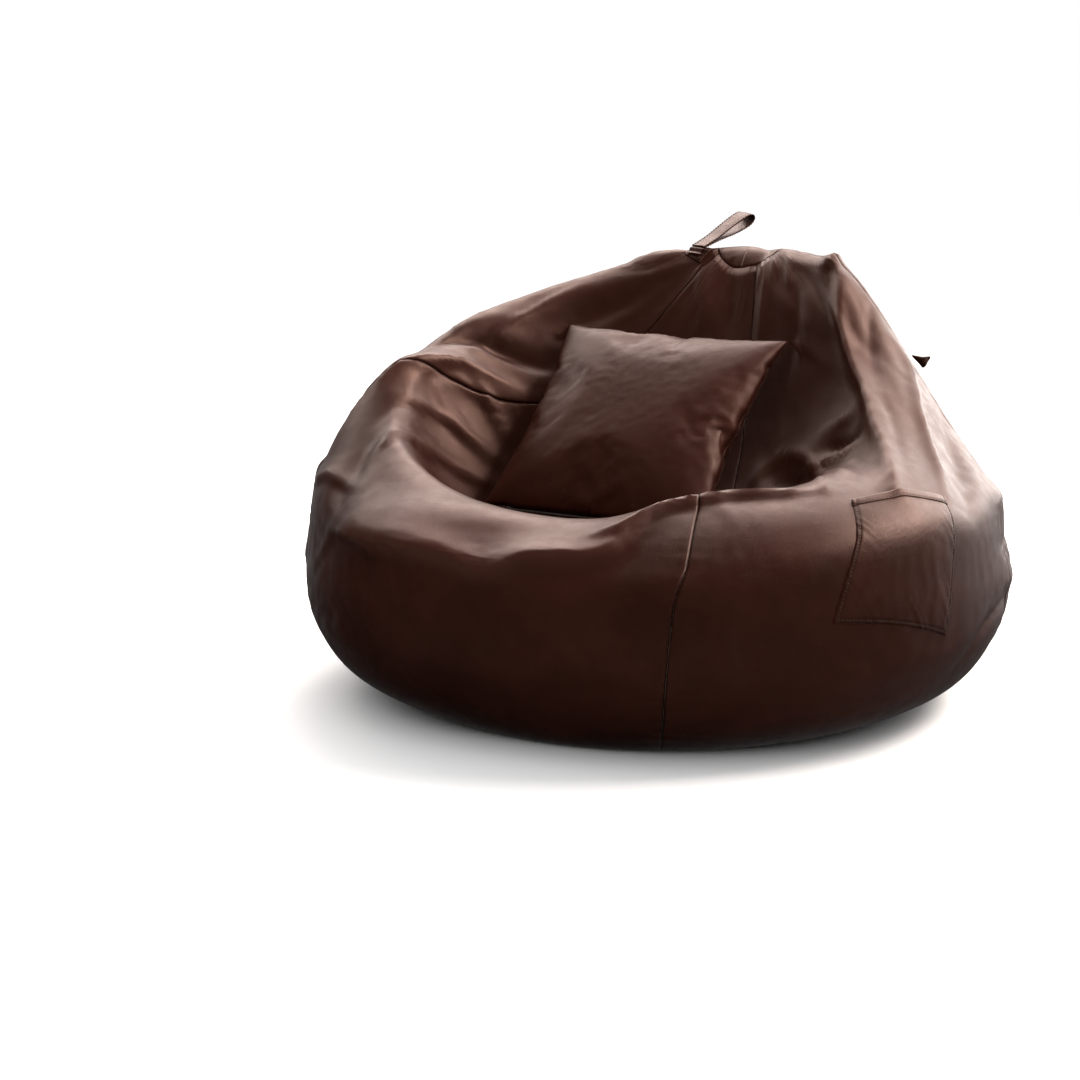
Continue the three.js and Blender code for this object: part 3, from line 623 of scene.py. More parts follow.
def settled(points, start, moved):
    """Carries points of the cover along with the cloth that they lie on."""
    if not len(moved) or not np.any(moved):
        return points
    tree = KDTree(len(start))
    for index, place in enumerate(start):
        tree.insert(place, index)
    tree.balance()
    shift = np.empty_like(points)
    for index, place in enumerate(points):
        found = tree.find_n(place, NEIGHBOURS)
        near = [f[1] for f in found]
        weight = np.exp(-((np.array([f[2] for f in found]) / SIM_VOXEL) ** 2)) + 1e-9
        shift[index] = weight @ moved[near] / weight.sum()
    fade = np.clip((points[:, 2] - HELD_HEIGHT) / HELD_HEIGHT, 0, 1)
    return points + shift * (fade * fade * (3 - 2 * fade))[:, None]


# === The pillow: two sheets sewn round their edge and blown up as cloth ===
PILLOW_CENTRE = Vector((-0.0548, 0.0346, 0.4158))
PILLOW_SLOPE, PILLOW_TURN = math.radians(40.3), math.radians(-0.6)
PILLOW_SIDE, PILLOW_DEPTH = 0.398, 0.103
PILLOW_CELLS = 60
PILLOW_FRAMES = 26
PILLOW_PRESSURE = 4.0
PILLOW_SOFT_SHARE, PILLOW_WRINKLES = 0.3, 0.75
PILLOW_ZIP_EDGE = -0.1975
PILLOW_PLACE = (
    Matrix.Translation(PILLOW_CENTRE)
    @ Matrix.Rotation(PILLOW_SLOPE, 4, "X")
    @ Matrix.Rotation(PILLOW_TURN, 4, "Z")
)


def crowned(u, v, side):
    """The full pillow's plain form: crowned, with edges that draw in between the corners."""
    draw_u, draw_v = 1 - 0.062 * (1 - v * v), 1 - 0.062 * (1 - u * u)
    height = 0.5 * PILLOW_DEPTH * ((1 - np.abs(u) ** 3.0) * (1 - np.abs(v) ** 3.0)) ** 0.62
    return np.dstack([u * draw_u * PILLOW_SIDE / 2, v * draw_v * PILLOW_SIDE / 2, side * height])


def blurred(sheet, rounds):
    soft = sheet.copy()
    for _ in range(rounds):
        inner = soft[:-2, 1:-1] + soft[2:, 1:-1] + soft[1:-1, :-2] + soft[1:-1, 2:]
        soft[1:-1, 1:-1] = 0.5 * soft[1:-1, 1:-1] + inner / 8
        for line in (soft[0], soft[-1], soft[:, 0], soft[:, -1]):
            line[1:-1] = 0.5 * line[1:-1] + (line[:-2] + line[2:]) / 4
    return soft


def pillow_sheets():
    """Front and back sheets as square grids of points in the pillow's own plane."""
    n = PILLOW_CELLS
    u, v = np.meshgrid(np.linspace(-1, 1, n + 1), np.linspace(-1, 1, n + 1), indexing="ij")
    forms = [crowned(u, v, side) for side in (1, -1)]
    crown = (1 - u**4) * (1 - v**4)
    noise = np.random.default_rng(7).normal(0, 0.0006, u.shape)
    size = 1.05 * PILLOW_SIDE / 2
    front = np.dstack([u * size, v * size, 0.020 * crown + noise * crown])
    back = np.dstack([u * size, v * size, -0.020 * crown + noise * crown])
    edge = (np.abs(u) == 1) | (np.abs(v) == 1)
    number = numbered(n + 1, n + 1)
    inner = np.where(edge, number, number.size + np.cumsum(~edge.ravel()).reshape(edge.shape) - 1)
    points = np.concatenate([front.reshape(-1, 3), back[~edge]])
    cloth_piece = mesh_object("pillow_cloth", points, two_sides(number, inner))
    cloth = cloth_settings(cloth_piece, PILLOW_FRAMES, 40, 0.5, 7)
    settings = cloth.settings
    settings.mass = 0.3
    settings.use_pressure = True
    settings.uniform_pressure_force = PILLOW_PRESSURE
    settings.effector_weights.gravity = 0
    cloth.collision_settings.use_collision = False
    step_frames(PILLOW_FRAMES)
    apply_modifiers(cloth_piece)
    done = coordinates(cloth_piece.data)
    bpy.data.objects.remove(cloth_piece)
    low, high = done.min(axis=0), done.max(axis=0)
    done = (done - (low + high) / 2) * (PILLOW_SIDE, PILLOW_SIDE, PILLOW_DEPTH) / (high - low)
    sheets = []
    for form, blown in zip(forms, (done[number], done[inner])):
        soft = blurred(blown, 40)
        sheets.append(form + PILLOW_SOFT_SHARE * (soft - form) + PILLOW_WRINKLES * (blown - soft))
    return sheets


def grid_faces(number):
    """Quads over a grid of vertex numbers."""
    a, b = number[:-1, :-1].ravel(), number[1:, :-1].ravel()
    c, d = number[1:, 1:].ravel(), number[:-1, 1:].ravel()
    return [tuple(int(k) for k in face) for face in zip(a, b, c, d)]


def straight_zip_edge(sheet):
    """The zip keeps the pillow's lower edge straight, which draws in the cover near it."""
    n = PILLOW_CELLS
    v = np.linspace(-1, 1, n + 1)
    along = np.clip((0.165 - np.abs(sheet[:, 0, 0])) / 0.03, 0, 1)
    lack = (PILLOW_ZIP_EDGE - sheet[:, 0, 1]) * along * along * (3 - 2 * along)
    fade = np.clip((-0.45 - v) / 0.55, 0, 1) ** 1.5
    moved = sheet.copy()
    moved[..., 1] += lack[:, None] * fade[None]
    return moved


def in_place(points, matrix):
    flat = np.asarray(points).reshape(-1, 3)
    turned = flat @ np.array(matrix.to_3x3()).T + np.array(matrix.translation)
    return turned.reshape(np.shape(points))


# === The bag's final surface: shape, folds, settled cloth, the zip's flat and the pillow's dent ===
ZIP_T = (0.7, 0.9)
ZIP_EDGE = 0.0085
ZIP_TOP_SIDE = 0.0006
ZIP_FLAT_HALF, ZIP_FLAT_FADE, ZIP_FLAT_DEPTH = 0.012, 0.035, 0.09
# the layers under the cover follow its valleys more and its ridges less, so they stay under it
INNER_VALLEYS, INNER_RIDGES = 1.15, 0.45
BASE_EDGE = 2e-5
FLOOR_FADE = 0.03
DENT_GAP, INNER_DENT_GAP = 0.0018, 0.014
DENT_REACH, INNER_DENT_REACH = 0.33, 0.36


class Bag:
    """Answers where the cover is, once the cloth has settled and the pillow lies in it."""

    def __init__(self, pillow_points, pillow_faces):
        self.start, self.moved = settle_cover()
        tree_points = [Vector(p) for p in pillow_points]
        self.pillow = BVHTree.FromPolygons(tree_points, pillow_faces)
        low, high = (np.array(skin(*on_panel(180.0, t))[0]) for t in ZIP_T)
        self.zip_middle = (low + high) / 2
        self.zip_up = (high - low) / np.linalg.norm(high - low)
        self.zip_out = np.cross((-1.0, 0, 0), self.zip_up)
        self.zip_length = np.linalg.norm(high - low)

    def at(self, x, y, inner=False):
        """Points and outward normals of the shape there, from places on the disc."""
        points, normals = skin(x, y)
        shape = points.shape
        points, normals = points.reshape(-1, 3), normals.reshape(-1, 3)
        low = np.hypot(np.ravel(x), np.ravel(y)) > 1 - BASE_EDGE
        normals[low] = (0, 0, -1)
        heights = fold_heights(points)
        if inner:
            heights = np.where(heights < 0, INNER_VALLEYS * heights, INNER_RIDGES * heights)
        points = points + normals * heights[:, None] * ~low[:, None]
        free = np.clip(points[:, 2] / FLOOR_FADE, 0, 1)[:, None]
        points = points + (settled(points, self.start, self.moved) - points) * free
        points = self.flatten_zip(points)
        if inner:
            points = points - normals * self.pressed(points)[:, None]
        else:
            points = self.dent(points)
        points[:, 2] = np.maximum(points[:, 2], 0.0)
        return points.reshape(shape), normals.reshape(shape)

    def flatten_zip(self, points):
        rel = points - self.zip_middle
        along, out = rel @ self.zip_up, rel @ self.zip_out
        over = np.abs(along) - self.zip_length / 2
        beside = np.abs(rel[:, 0]) - ZIP_FLAT_HALF
        reach = np.hypot(np.maximum(beside, 0), np.maximum(over, 0))
        share = np.exp(-((reach / ZIP_FLAT_FADE) ** 2)) * (np.abs(out) < ZIP_FLAT_DEPTH)
        return points + self.zip_out * (share * (ZIP_TOP_SIDE - out))[:, None]

    def pressed(self, points):
        """How far an inner layer sinks so that it stays under the cover where the pillow lies."""
        depth = np.zeros(len(points))
        for index in np.where(np.linalg.norm(points - np.array(PILLOW_CENTRE), axis=1) < INNER_DENT_REACH)[0]:
            place = Vector(points[index])
            found, normal, _, distance = self.pillow.find_nearest(place)
            inside = (place - found).dot(normal) < -0.6 * distance
            depth[index] = max(0.0, INNER_DENT_GAP + (distance if inside else -distance))
        return depth

    def dent(self, points):
        moved = points.copy()
        near = np.where(np.linalg.norm(points - np.array(PILLOW_CENTRE), axis=1) < DENT_REACH)[0]
        for index in near:
            place = Vector(points[index])
            found, normal, _, distance = self.pillow.find_nearest(place)
            side = (place - found).dot(normal)
            if side < -0.6 * distance or distance < DENT_GAP:
                moved[index] = found + normal * DENT_GAP
        return moved


# === Sheet pieces: a grid of points with seams, thickness and what the materials read ===
COVER_THICK, BASE_THICK = 0.0018, 0.0022
SEAM_HALF_GAP = 0.0003
SEAM_SINK = 0.0014
SEAM_ROLL, SEAM_CLEAR = 0.0026, 0.003
# how far a seam's painted shade line reaches, and the fold height that counts as a fully worn ridge
SEAM_SHADE, RIDGE_HEIGHT = 0.0028, 0.02
PUCKER_HEIGHT, PUCKER_REACH, PUCKER_PITCH = 0.0011, 0.020, 0.024
LINER_INSET, FILLING_INSET = 0.0075, 0.0115


def steps(points, axis):
    """Distance along the sheet from its first edge."""
    gaps = np.linalg.norm(np.diff(points, axis=axis), axis=2)
    first = np.zeros_like(np.take(gaps, [0], axis=axis))
    return np.cumsum(np.concatenate([first, gaps], axis=axis), axis=axis)


def set_attribute(mesh, name, values):
    attribute = mesh.attributes.new(name, "FLOAT", "POINT")
    attribute.data.foreach_set("value", np.asarray(values, dtype=np.float32).ravel())


def sheet_piece(name, points, thickness, **attributes):
    """A sheet from a grid of points. Its normal side is the outside; thickness goes inwards."""
    piece = mesh_object(name, points.reshape(-1, 3), grid_faces(numbered(*points.shape[:2])))
    for key, values in attributes.items():
        set_attribute(piece.data, key, values)
    return solidify(piece, thickness)


def uneven(phase, seed):
    """A wave of uneven pitch and height, for puckers."""
    shift = 1.3 * np.sin(0.37 * phase + seed) + 0.9 * np.sin(0.173 * phase + 2.1 * seed)
    size = 0.55 + 0.45 * np.sin(0.231 * phase + 1.7 * seed)
    return np.sin(phase + shift) * size


def sink_seam(points, normals, distance, along, seed):
    """Rolls an edge in towards its seam, with puckers beside it. distance is from the seam."""
    roll = SEAM_SINK * np.exp(-((distance / SEAM_ROLL) ** 1.3))
    wave = uneven(along * 2 * math.pi / PUCKER_PITCH, seed)
    pucker = PUCKER_HEIGHT * wave * np.exp(-distance / PUCKER_REACH) * (1 - np.exp(-distance / SEAM_CLEAR))
    return points + normals * (pucker - roll)[..., None]


PANEL_ROWS = 176
PANEL_COLUMNS = 68
ZIP_END_FADE, ZIP_SIDE_FADE = 0.006, 0.05
CAP_TURNS, CAP_RINGS, CAP_SHARE = 97, 14, 0.993


def panel_places(start, stop, columns):
    k = np.linspace(0, 1, columns + 1)
    share = 0.5 * k + 0.5 * (0.5 - 0.5 * np.cos(math.pi * k))
    azimuth = start + (stop - start) * share
    t = np.linspace(0, CAP_EDGE, PANEL_ROWS + 1)
    t[0] = 1e-5
    return np.meshgrid(azimuth, t, indexing="ij")


def open_for_zip(points, t, edge, side):
    """Draws the panel's edge back beside the zip, and its neighbours less and less."""
    low, high = ZIP_T
    opening = np.clip((t[edge] - low + ZIP_END_FADE) / (2 * ZIP_END_FADE), 0, 1)
    opening = opening * np.clip((high + ZIP_END_FADE - t[edge]) / (2 * ZIP_END_FADE), 0, 1)
    opening = opening * opening * (3 - 2 * opening)
    distance = steps(points, 0)
    if edge != 0:
        distance = distance[-1][None] - distance
    shift = side * ZIP_EDGE * opening[None] * np.clip(1 - distance / ZIP_SIDE_FADE, 0, 1)
    moved = points.copy()
    moved[..., 0] += shift
    return moved


def make_panel(bag, name, start, stop, material):
    columns = int(round(PANEL_COLUMNS * (stop - start) / 60))
    azimuth, t = panel_places(start, stop, columns)
    x, y = on_panel(azimuth, t)
    points, normals = bag.at(x, y)
    zip_side = {"rear_right_panel": 1, "rear_left_panel": -1}.get(name, 0)
    if zip_side:
        points = open_for_zip(points, t, -1 if zip_side > 0 else 0, zip_side)
    across = steps(points, 0)
    along = steps(points, 1)
    from_first, from_last = across, across[-1][None] - across
    height = normals * np.clip(points[..., 2] / FLOOR_FADE, 0, 1)[..., None]
    points = sink_seam(points, height, from_first, along, start % 7)
    points = sink_seam(points, height, from_last, along, stop % 7)
    for edge, beside in ((0, 1), (-1, -2)):
        inward = points[beside] - points[edge]
        inward /= np.linalg.norm(inward, axis=1, keepdims=True)
        points[edge] += inward * SEAM_HALF_GAP
    # painted shade along both seams of the panel, where the rolled edges sink in
    seam = np.exp(-np.minimum(from_first, from_last) / SEAM_SHADE)
    ridge = fold_heights(skin(x, y)[0].reshape(-1, 3)) / RIDGE_HEIGHT
    piece = sheet_piece(name + "_leather", points, COVER_THICK, seam=seam, ridge=ridge)
    finish_piece(piece, "bag", "cover", material, name)


def make_cap(bag, material):
    middle = CAP_PULL * CAP_EDGE**CAP_PULL_POWER
    turn = np.linspace(0, 2 * math.pi, CAP_TURNS)
    share = np.linspace(1, 0.0, CAP_RINGS)
    share[-1] = 0.02
    r, a = np.meshgrid((1 - CAP_EDGE) * CAP_SHARE * share, turn, indexing="ij")
    points, normals = bag.at(r * np.sin(a), middle - r * np.cos(a))
    edge = steps(points, 0)
    points = sink_seam(points, normals, 0.004 + edge, np.zeros_like(a), 3)
    # painted shade along the cap's sunken rim seam
    seam = 0.3 * np.exp(-edge.T / 0.002)
    piece = sheet_piece("top_cap_leather", points.swapaxes(0, 1), COVER_THICK, seam=seam, ridge=0 * seam)
    finish_piece(piece, "bag", "cover", material, "top_cap")


def make_base(material):
    """The round base: flat on the floor, with a fine rolled edge and a shallow ring."""
    radius = np.array([0.3843, 0.3838, 0.380, 0.372, 0.369, 0.366, 0.30, 0.22, 0.14, 0.07, 0.004])
    drop = np.array([0.0008, 0.0002, 0, 0, 0.0006, 0, 0, 0, 0, 0, 0])
    turn = np.linspace(0, 2 * math.pi, 145)
    r, a = np.meshgrid(radius, turn, indexing="ij")
    z = np.repeat(drop[:, None], len(turn), axis=1)
    points = np.stack([r * np.sin(a), -r * np.cos(a), z], -1)
    # painted shade round the base's rim, where it meets the floor and the panels
    seam = np.exp(-steps(points, 0) / 0.006)
    piece = sheet_piece("base_panel_leather", points, BASE_THICK, seam=seam, ridge=0 * r)
    finish_piece(piece, "bag", "base", material, "base_panel")


LAYER_COLUMNS, LAYER_ROWS = 200, 110


def inner_layer(bag, name, inset):
    """A closed layer of the bag, inset from the cover."""
    points, normals = bag.at(*ring_places(LAYER_COLUMNS, LAYER_ROWS), True)
    points, normals = with_ends(points, normals, bag.at(*SEAT_CENTRE, True))
    points = points - normals * inset
    points[:, 2] = np.maximum(points[:, 2], inset)
    return mesh_object(name, points, closed_faces(LAYER_COLUMNS, LAYER_ROWS))


# === Stitching: a row of short threads along a line ===
STITCH_LENGTH, STITCH_SPACE, THREAD = 0.0042, 0.0014, 0.0007


def resample(points, count):
    """A line's points laid out again, evenly."""
    points = np.asarray(points)
    arc = arc_lengths(points)
    return at_lengths(np.linspace(0, arc[-1], count), arc, points)


def stitches(name, lines, lift=0.0):
    """One mesh of stitches along lines, each (points, outward normals), lifted off their surface."""
    pitch = STITCH_LENGTH + STITCH_SPACE
    rings = ((0, 0.35, -0.6), (0.12, 0.85, 0.1), (0.5, 1, 0.45), (0.88, 0.85, 0.1), (1, 0.35, -0.6))
    verts, faces = [], []
    for points, normals in lines:
        points, normals = points + normals * lift, np.asarray(normals)
        arc = arc_lengths(points)
        even = np.linspace(0, arc[-1], max(2, int(arc[-1] / pitch)))
        places, outward = at_lengths(even, arc, points), at_lengths(even, arc, normals)
        for start, stop, up in zip(places, places[1:], outward):
            way = (stop - start) * STITCH_LENGTH / pitch
            up = up / np.linalg.norm(up)
            side = np.cross(way, up)
            side /= np.linalg.norm(side) + 1e-12
            faces += ring_faces(len(rings), 6, len(verts))
            for share, size, height in rings:
                middle = start + way * share + up * height * THREAD
                for turn in range(6):
                    angle = turn * math.pi / 3
                    spoke = math.cos(angle) * side + math.sin(angle) * up * 0.8
                    verts.append(middle + THREAD * size * spoke)
    return mesh_object(name, verts, faces)


# === Side pocket and its hem ===
POCKET_CORNERS = {
    "bottom_front": (53.6, 0.380),
    "bottom_rear": (76.6, 0.305),
    "top_rear": (85.4, 0.600),
    "top_front": (65.3, 0.643),
}
POCKET_GAPE, POCKET_STAND, POCKET_THICK = 0.0060, 0.0022, 0.0016
POCKET_CELLS, POCKET_SMOOTHING = 96, 14
HEM_WIDTH, HEM_THICK = 0.014, 0.0012
HEM_ROWS, HEM_STITCH_ROW = 9, 2
POCKET_STITCH_IN = 0.0065


def pocket_grid(bag):
    """Points of the cover under the pocket, their normals, how far the pocket stands off, and v."""
    a, b, c, d = (np.array(on_meridian(*POCKET_CORNERS[key])) for key in POCKET_CORNERS)
    share = np.linspace(0, 1, POCKET_CELLS + 1)
    u, v = np.meshgrid(share, share, indexing="ij")
    place = (1 - v)[..., None] * ((1 - u)[..., None] * a + u[..., None] * b)
    place = place + v[..., None] * ((1 - u)[..., None] * d + u[..., None] * c)
    base, normals = bag.at(place[..., 0], place[..., 1])
    smooth = base.copy()
    for _ in range(POCKET_SMOOTHING):
        smooth[1:-1, :] = (smooth[:-2] + smooth[2:] + 2 * smooth[1:-1]) / 4
        smooth[:, 1:-1] = (smooth[:, :-2] + smooth[:, 2:] + 2 * smooth[:, 1:-1]) / 4
    taut = np.maximum(np.einsum("ijk,ijk->ij", smooth - base, normals), 0)
    gape = POCKET_GAPE * np.sin(math.pi * u) ** 0.8 * v**1.2
    sag = 0.0016 * uneven(9 * u + 5 * v, 2) * np.sin(math.pi * u) * np.sin(math.pi * np.clip(v, 0, 0.95))
    stand = POCKET_STAND + taut + gape + sag
    return base, normals, stand, v


def make_pocket(bag, leather, thread):
    base, normals, stand, v = pocket_grid(bag)
    points = base + normals * stand[..., None]
    across, upward = steps(points, 0), steps(points, 1)
    edge = np.minimum(np.minimum(across, across[-1][None] - across), upward)
    groove = 0.0012 * np.exp(-(((edge - POCKET_STITCH_IN) / 0.0018) ** 2))
    tuck = 0.0030 * np.exp(-((edge / 0.0022) ** 1.5)) * (1 - np.clip((v - 0.97) / 0.03, 0, 1))
    wave = 0.0006 * uneven((across + upward) * 2 * math.pi / 0.02, 5) * np.exp(-edge / 0.014)
    points = points + normals * (wave - groove - tuck)[..., None]
    # painted shade along the pocket's tucked edge and in its stitch groove
    seam = np.maximum(np.exp(-edge / 0.004), 0.8 * np.exp(-np.abs(edge - POCKET_STITCH_IN) / 0.002))
    piece = sheet_piece("side_pocket_leather", points, POCKET_THICK, seam=seam, ridge=0 * seam)
    finish_piece(piece, "bag", "cover", leather, "side_pocket")
    hem, out = make_hem(points, normals, upward, leather)
    side = POCKET_STITCH_IN / across[-1].mean()
    corners = ((side, 1.0, side, side), (side, side, side, 1 - side), (side, 1.0, 1 - side, 1 - side))
    lines = [grid_line(points, normals, *ends) for ends in corners]
    lines.append((hem[:, HEM_STITCH_ROW], out[:, HEM_STITCH_ROW]))
    finish_piece(stitches("pocket_stitching", lines, 0.0001), "bag", "cover", thread)


def make_hem(points, normals, upward, leather):
    """The folded band along the pocket's mouth, from its lower edge up and over the rim."""
    share = np.linspace(0, 1, HEM_ROWS)
    below = upward[:, -1][:, None] - upward
    hem, out = (below_mouth(grid, below, HEM_WIDTH * (1 - share)) for grid in (points, normals))
    lift = HEM_THICK + 0.0006 - 0.0009 * np.exp(-share * HEM_WIDTH / 0.0015)
    lift = lift - 0.0008 * np.exp(-(((share - 0.22) * HEM_WIDTH / 0.0014) ** 2))
    hem = hem + out * lift[None, :, None]
    rim = hem[:, -1] - 0.0012 * out[:, -1]
    hem = np.concatenate([hem, rim[:, None]], axis=1)
    plain = np.zeros(hem.shape[:2])
    band = sheet_piece("pocket_hem_leather", hem, HEM_THICK * 0.7, seam=plain, ridge=0.4 + plain)
    finish_piece(band, "bag", "cover", leather, "pocket_hem")
    return hem, out


def below_mouth(grid, below, depths):
    """Rows of a grid at given depths below the pocket's mouth."""
    rows = [at_lengths(depths, line[::-1], values[::-1]) for line, values in zip(below, grid)]
    return np.array(rows)


def grid_line(points, normals, start_v, stop_v, start_u, stop_u, count=160):
    """Points along a straight line over a grid, from (start_u, start_v) to (stop_u, stop_v)."""
    u = np.linspace(start_u, stop_u, count) * (points.shape[0] - 1)
    v = np.linspace(start_v, stop_v, count) * (points.shape[1] - 1)
    return sample_grid(points, u, v), sample_grid(normals, u, v)


def sample_grid(grid, u, v):
    i = np.clip(u.astype(int), 0, grid.shape[0] - 2)
    j = np.clip(v.astype(int), 0, grid.shape[1] - 2)
    f, g = (u - i)[:, None], (v - j)[:, None]
    low = grid[i, j] * (1 - f) + grid[i + 1, j] * f
    high = grid[i, j + 1] * (1 - f) + grid[i + 1, j + 1] * f
    return low * (1 - g) + high * g


# === Ribbons: straps, tapes and folds swept along a path ===
def curve_through(places, count):
    """A smooth curve in space. Flat places are (x, z) pairs."""
    places = np.asarray(places, float)
    fine = np.linspace(0, 1, 40 * len(places))
    line = np.stack([smooth_through(places[:, k], fine) for k in range(places.shape[1])], -1)
    if line.shape[1] == 2:
        line = np.column_stack([line[:, 0], np.zeros(len(line)), line[:, 1]])
    return resample(line, count)


def ribbon_grid(path, width, columns=14, crown=0.0, groove=0.0):
    """Points of a ribbon along a path in the XZ plane, and the path's outward normals."""
    across = np.array((0.0, 1.0, 0.0))
    forward = np.gradient(path, axis=0)
    forward /= np.linalg.norm(forward, axis=1, keepdims=True)
    normal = np.cross(across[None], forward) * -1.0
    share = np.sin(np.linspace(-1, 1, columns + 1) * math.pi / 2)
    side = share * width / 2
    groove_place = np.abs(side) - width / 2 + RIBBON_GROOVE_IN
    lift = crown * (1 - share**2) - groove * np.exp(-((groove_place / 0.0009) ** 2))
    lift = lift - 0.0006 * np.exp(-(width / 2 - np.abs(side)) / 0.0008)
    return path[:, None] + side[None, :, None] * across + lift[None, :, None] * normal[:, None], normal


RIBBON_GROOVE_IN = 0.003
HANDLE_PLACE = (194, 0.728)
HANDLE_DIRECTION = Vector((50, 115, 47)).normalized()
HANDLE_PIVOT_HEIGHT = 0.011
STRAP_WIDTH, STRAP_THICK, STRAP_LENGTH = 0.032, 0.0020, 0.126
BEND_START, BEND_END = 0.002, 0.034
PATCH_LENGTH_HALF, PATCH_WIDTH_HALF, PATCH_CELLS, PATCH_STITCH_IN = 0.017, 0.018, 24, 3
STRAP_EYE = [(0.001, 0.0017), (0.038, 0.0034), (0.076, 0.0080), (0.107, 0.0094), (0.122, 0.0062)]
ROOT_FOLD = [(-0.013, 0.0026), (-0.008, 0.0032), (-0.0048, 0.0062), (-0.003, 0.0078)]
ROOT_FOLD += [(-0.0012, 0.0066), (0.002, 0.0034), (0.007, 0.0028)]


def handle_frame():
    point, normal = (Vector([float(c) for c in v]) for v in skin(*on_meridian(*HANDLE_PLACE)))
    across = Vector((0, 0, 1)).cross(HANDLE_DIRECTION).normalized()
    up = HANDLE_DIRECTION.cross(across)
    matrix = Matrix((HANDLE_DIRECTION, across, up)).transposed().to_4x4()
    return Matrix.Translation(point + normal * HANDLE_PIVOT_HEIGHT) @ matrix, point, normal


def make_handle(bag, leather, thread):
    frame_matrix, point, normal = handle_frame()
    loop = STRAP_EYE + [(STRAP_LENGTH, 0.0)] + [(x, -z) for x, z in STRAP_EYE[::-1]]
    path = curve_through(loop, 120)
    grid, outward = ribbon_grid(path, STRAP_WIDTH, columns=18, crown=0.0006, groove=0.0007)
    centre = path.mean(axis=0)
    if np.einsum("ij,ij->i", path - centre, outward).mean() < 0:
        outward = -outward
        grid = grid[:, ::-1]
    twist = 0.10 * (grid[..., 0] / STRAP_LENGTH) ** 2
    grid[..., 2] += twist * grid[..., 1] + 0.004 * (grid[..., 0] / STRAP_LENGTH) ** 3
    seam = np.zeros(grid.shape[:2])
    placed = in_place(grid, frame_matrix)
    strap = sheet_piece("handle_strap_leather", placed, STRAP_THICK, seam=seam, ridge=seam + 0.3)
    out = outward @ np.array(frame_matrix.to_3x3()).T
    threads = stitches("handle_stitching", [(placed[:, column], out) for column in (2, -3)], 0.0002)
    root = frame_matrix.translation
    start, end = root + HANDLE_DIRECTION * BEND_START, root + HANDLE_DIRECTION * BEND_END
    for piece, paint in ((strap, leather), (threads, thread)):
        piece.data.materials.append(paint)
        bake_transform(piece)
        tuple(start)
        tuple(end)
    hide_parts("handle_strap")
    make_handle_root(bag, point, normal, leather, thread)


def tangent_places(place, forward, side, a, b):
    """Disc places at tangent offsets a (forward) and b (sideways) from a place of the surface."""
    x0, y0 = (float(v) for v in on_meridian(*place))
    step = 1e-3
    here = skin(x0, y0)[0]
    across = (skin(x0 + step, y0)[0] - here) / step
    along = (skin(x0, y0 + step)[0] - here) / step
    back = np.linalg.pinv(np.stack([across, along], -1))
    offset = a[..., None] * np.array(forward) + b[..., None] * np.array(side)
    shift = offset @ back.T
    return x0 + shift[..., 0], y0 + shift[..., 1]


def make_handle_root(bag, point, normal, leather, thread):
    """The patch that the strap is sewn down with, and the strap's folded end on it."""
    forward = Vector((0, 0, 1)).cross(HANDLE_DIRECTION).cross(normal).normalized()
    side = normal.cross(forward)
    a = np.linspace(-PATCH_LENGTH_HALF, PATCH_LENGTH_HALF, PATCH_CELLS + 1)
    b = np.linspace(-PATCH_WIDTH_HALF, PATCH_WIDTH_HALF, PATCH_CELLS + 1)
    a, b = np.meshgrid(a, b, indexing="ij")
    points, normals = bag.at(*tangent_places(HANDLE_PLACE, forward, side, a, b))
    rim = np.minimum(PATCH_LENGTH_HALF - np.abs(a), PATCH_WIDTH_HALF - np.abs(b))
    lift = 0.0024 - 0.0016 * np.exp(-((rim / 0.0012) ** 2))
    lift = lift - 0.0004 * np.exp(-(((rim - 0.003) / 0.0008) ** 2))
    points = points + normals * lift[..., None]
    # painted shade round the patch's rim, where it sinks into the cover
    seam = np.exp(-rim / 0.002)
    patch = sheet_piece("handle_patch_leather", points, 0.0014, seam=seam, ridge=0 * rim)
    finish_piece(patch, "bag", "cover", leather, "handle_patch")
    first, last = PATCH_STITCH_IN, PATCH_CELLS - PATCH_STITCH_IN
    along, diagonal = slice(first, last + 1), np.arange(first, last + 1)
    places = []
    for k in (first, last):
        places += [(k, along), (along, k)]
    places += [(diagonal, diagonal), (diagonal, PATCH_CELLS - diagonal)]
    lines = [(points[place], normals[place]) for place in places]
    finish_piece(stitches("handle_patch_stitching", lines, 0.0002), "bag", "cover", thread)
    behind = tangent_places(HANDLE_PLACE, forward, side, np.array([-0.002]), np.array([0.0]))
    height = float((bag.at(*behind)[0][0] - np.array(point)) @ np.array(normal))
    grid, _ = ribbon_grid(curve_through(ROOT_FOLD, 40), STRAP_WIDTH, crown=0.0004)
    turn = Matrix((forward, side, normal)).transposed().to_4x4()
    grid = in_place(grid, Matrix.Translation(point + normal * height) @ turn)
    plain = np.zeros(grid.shape[:2])
    root = sheet_piece("handle_root_fold", grid, -0.0014, seam=plain, ridge=0.3 + plain)
    finish_piece(root, "bag", "cover", leather)


# === Seam tab: a folded scrap that stands out of the right-hand seam and droops ===
TAB_PLACE = (128, 0.672)
TAB_REACH, TAB_DROOP, TAB_WIDTH, TAB_STAND = 0.020, 0.009, 0.028, 0.0035
TAB_STITCH_IN = 0.0035


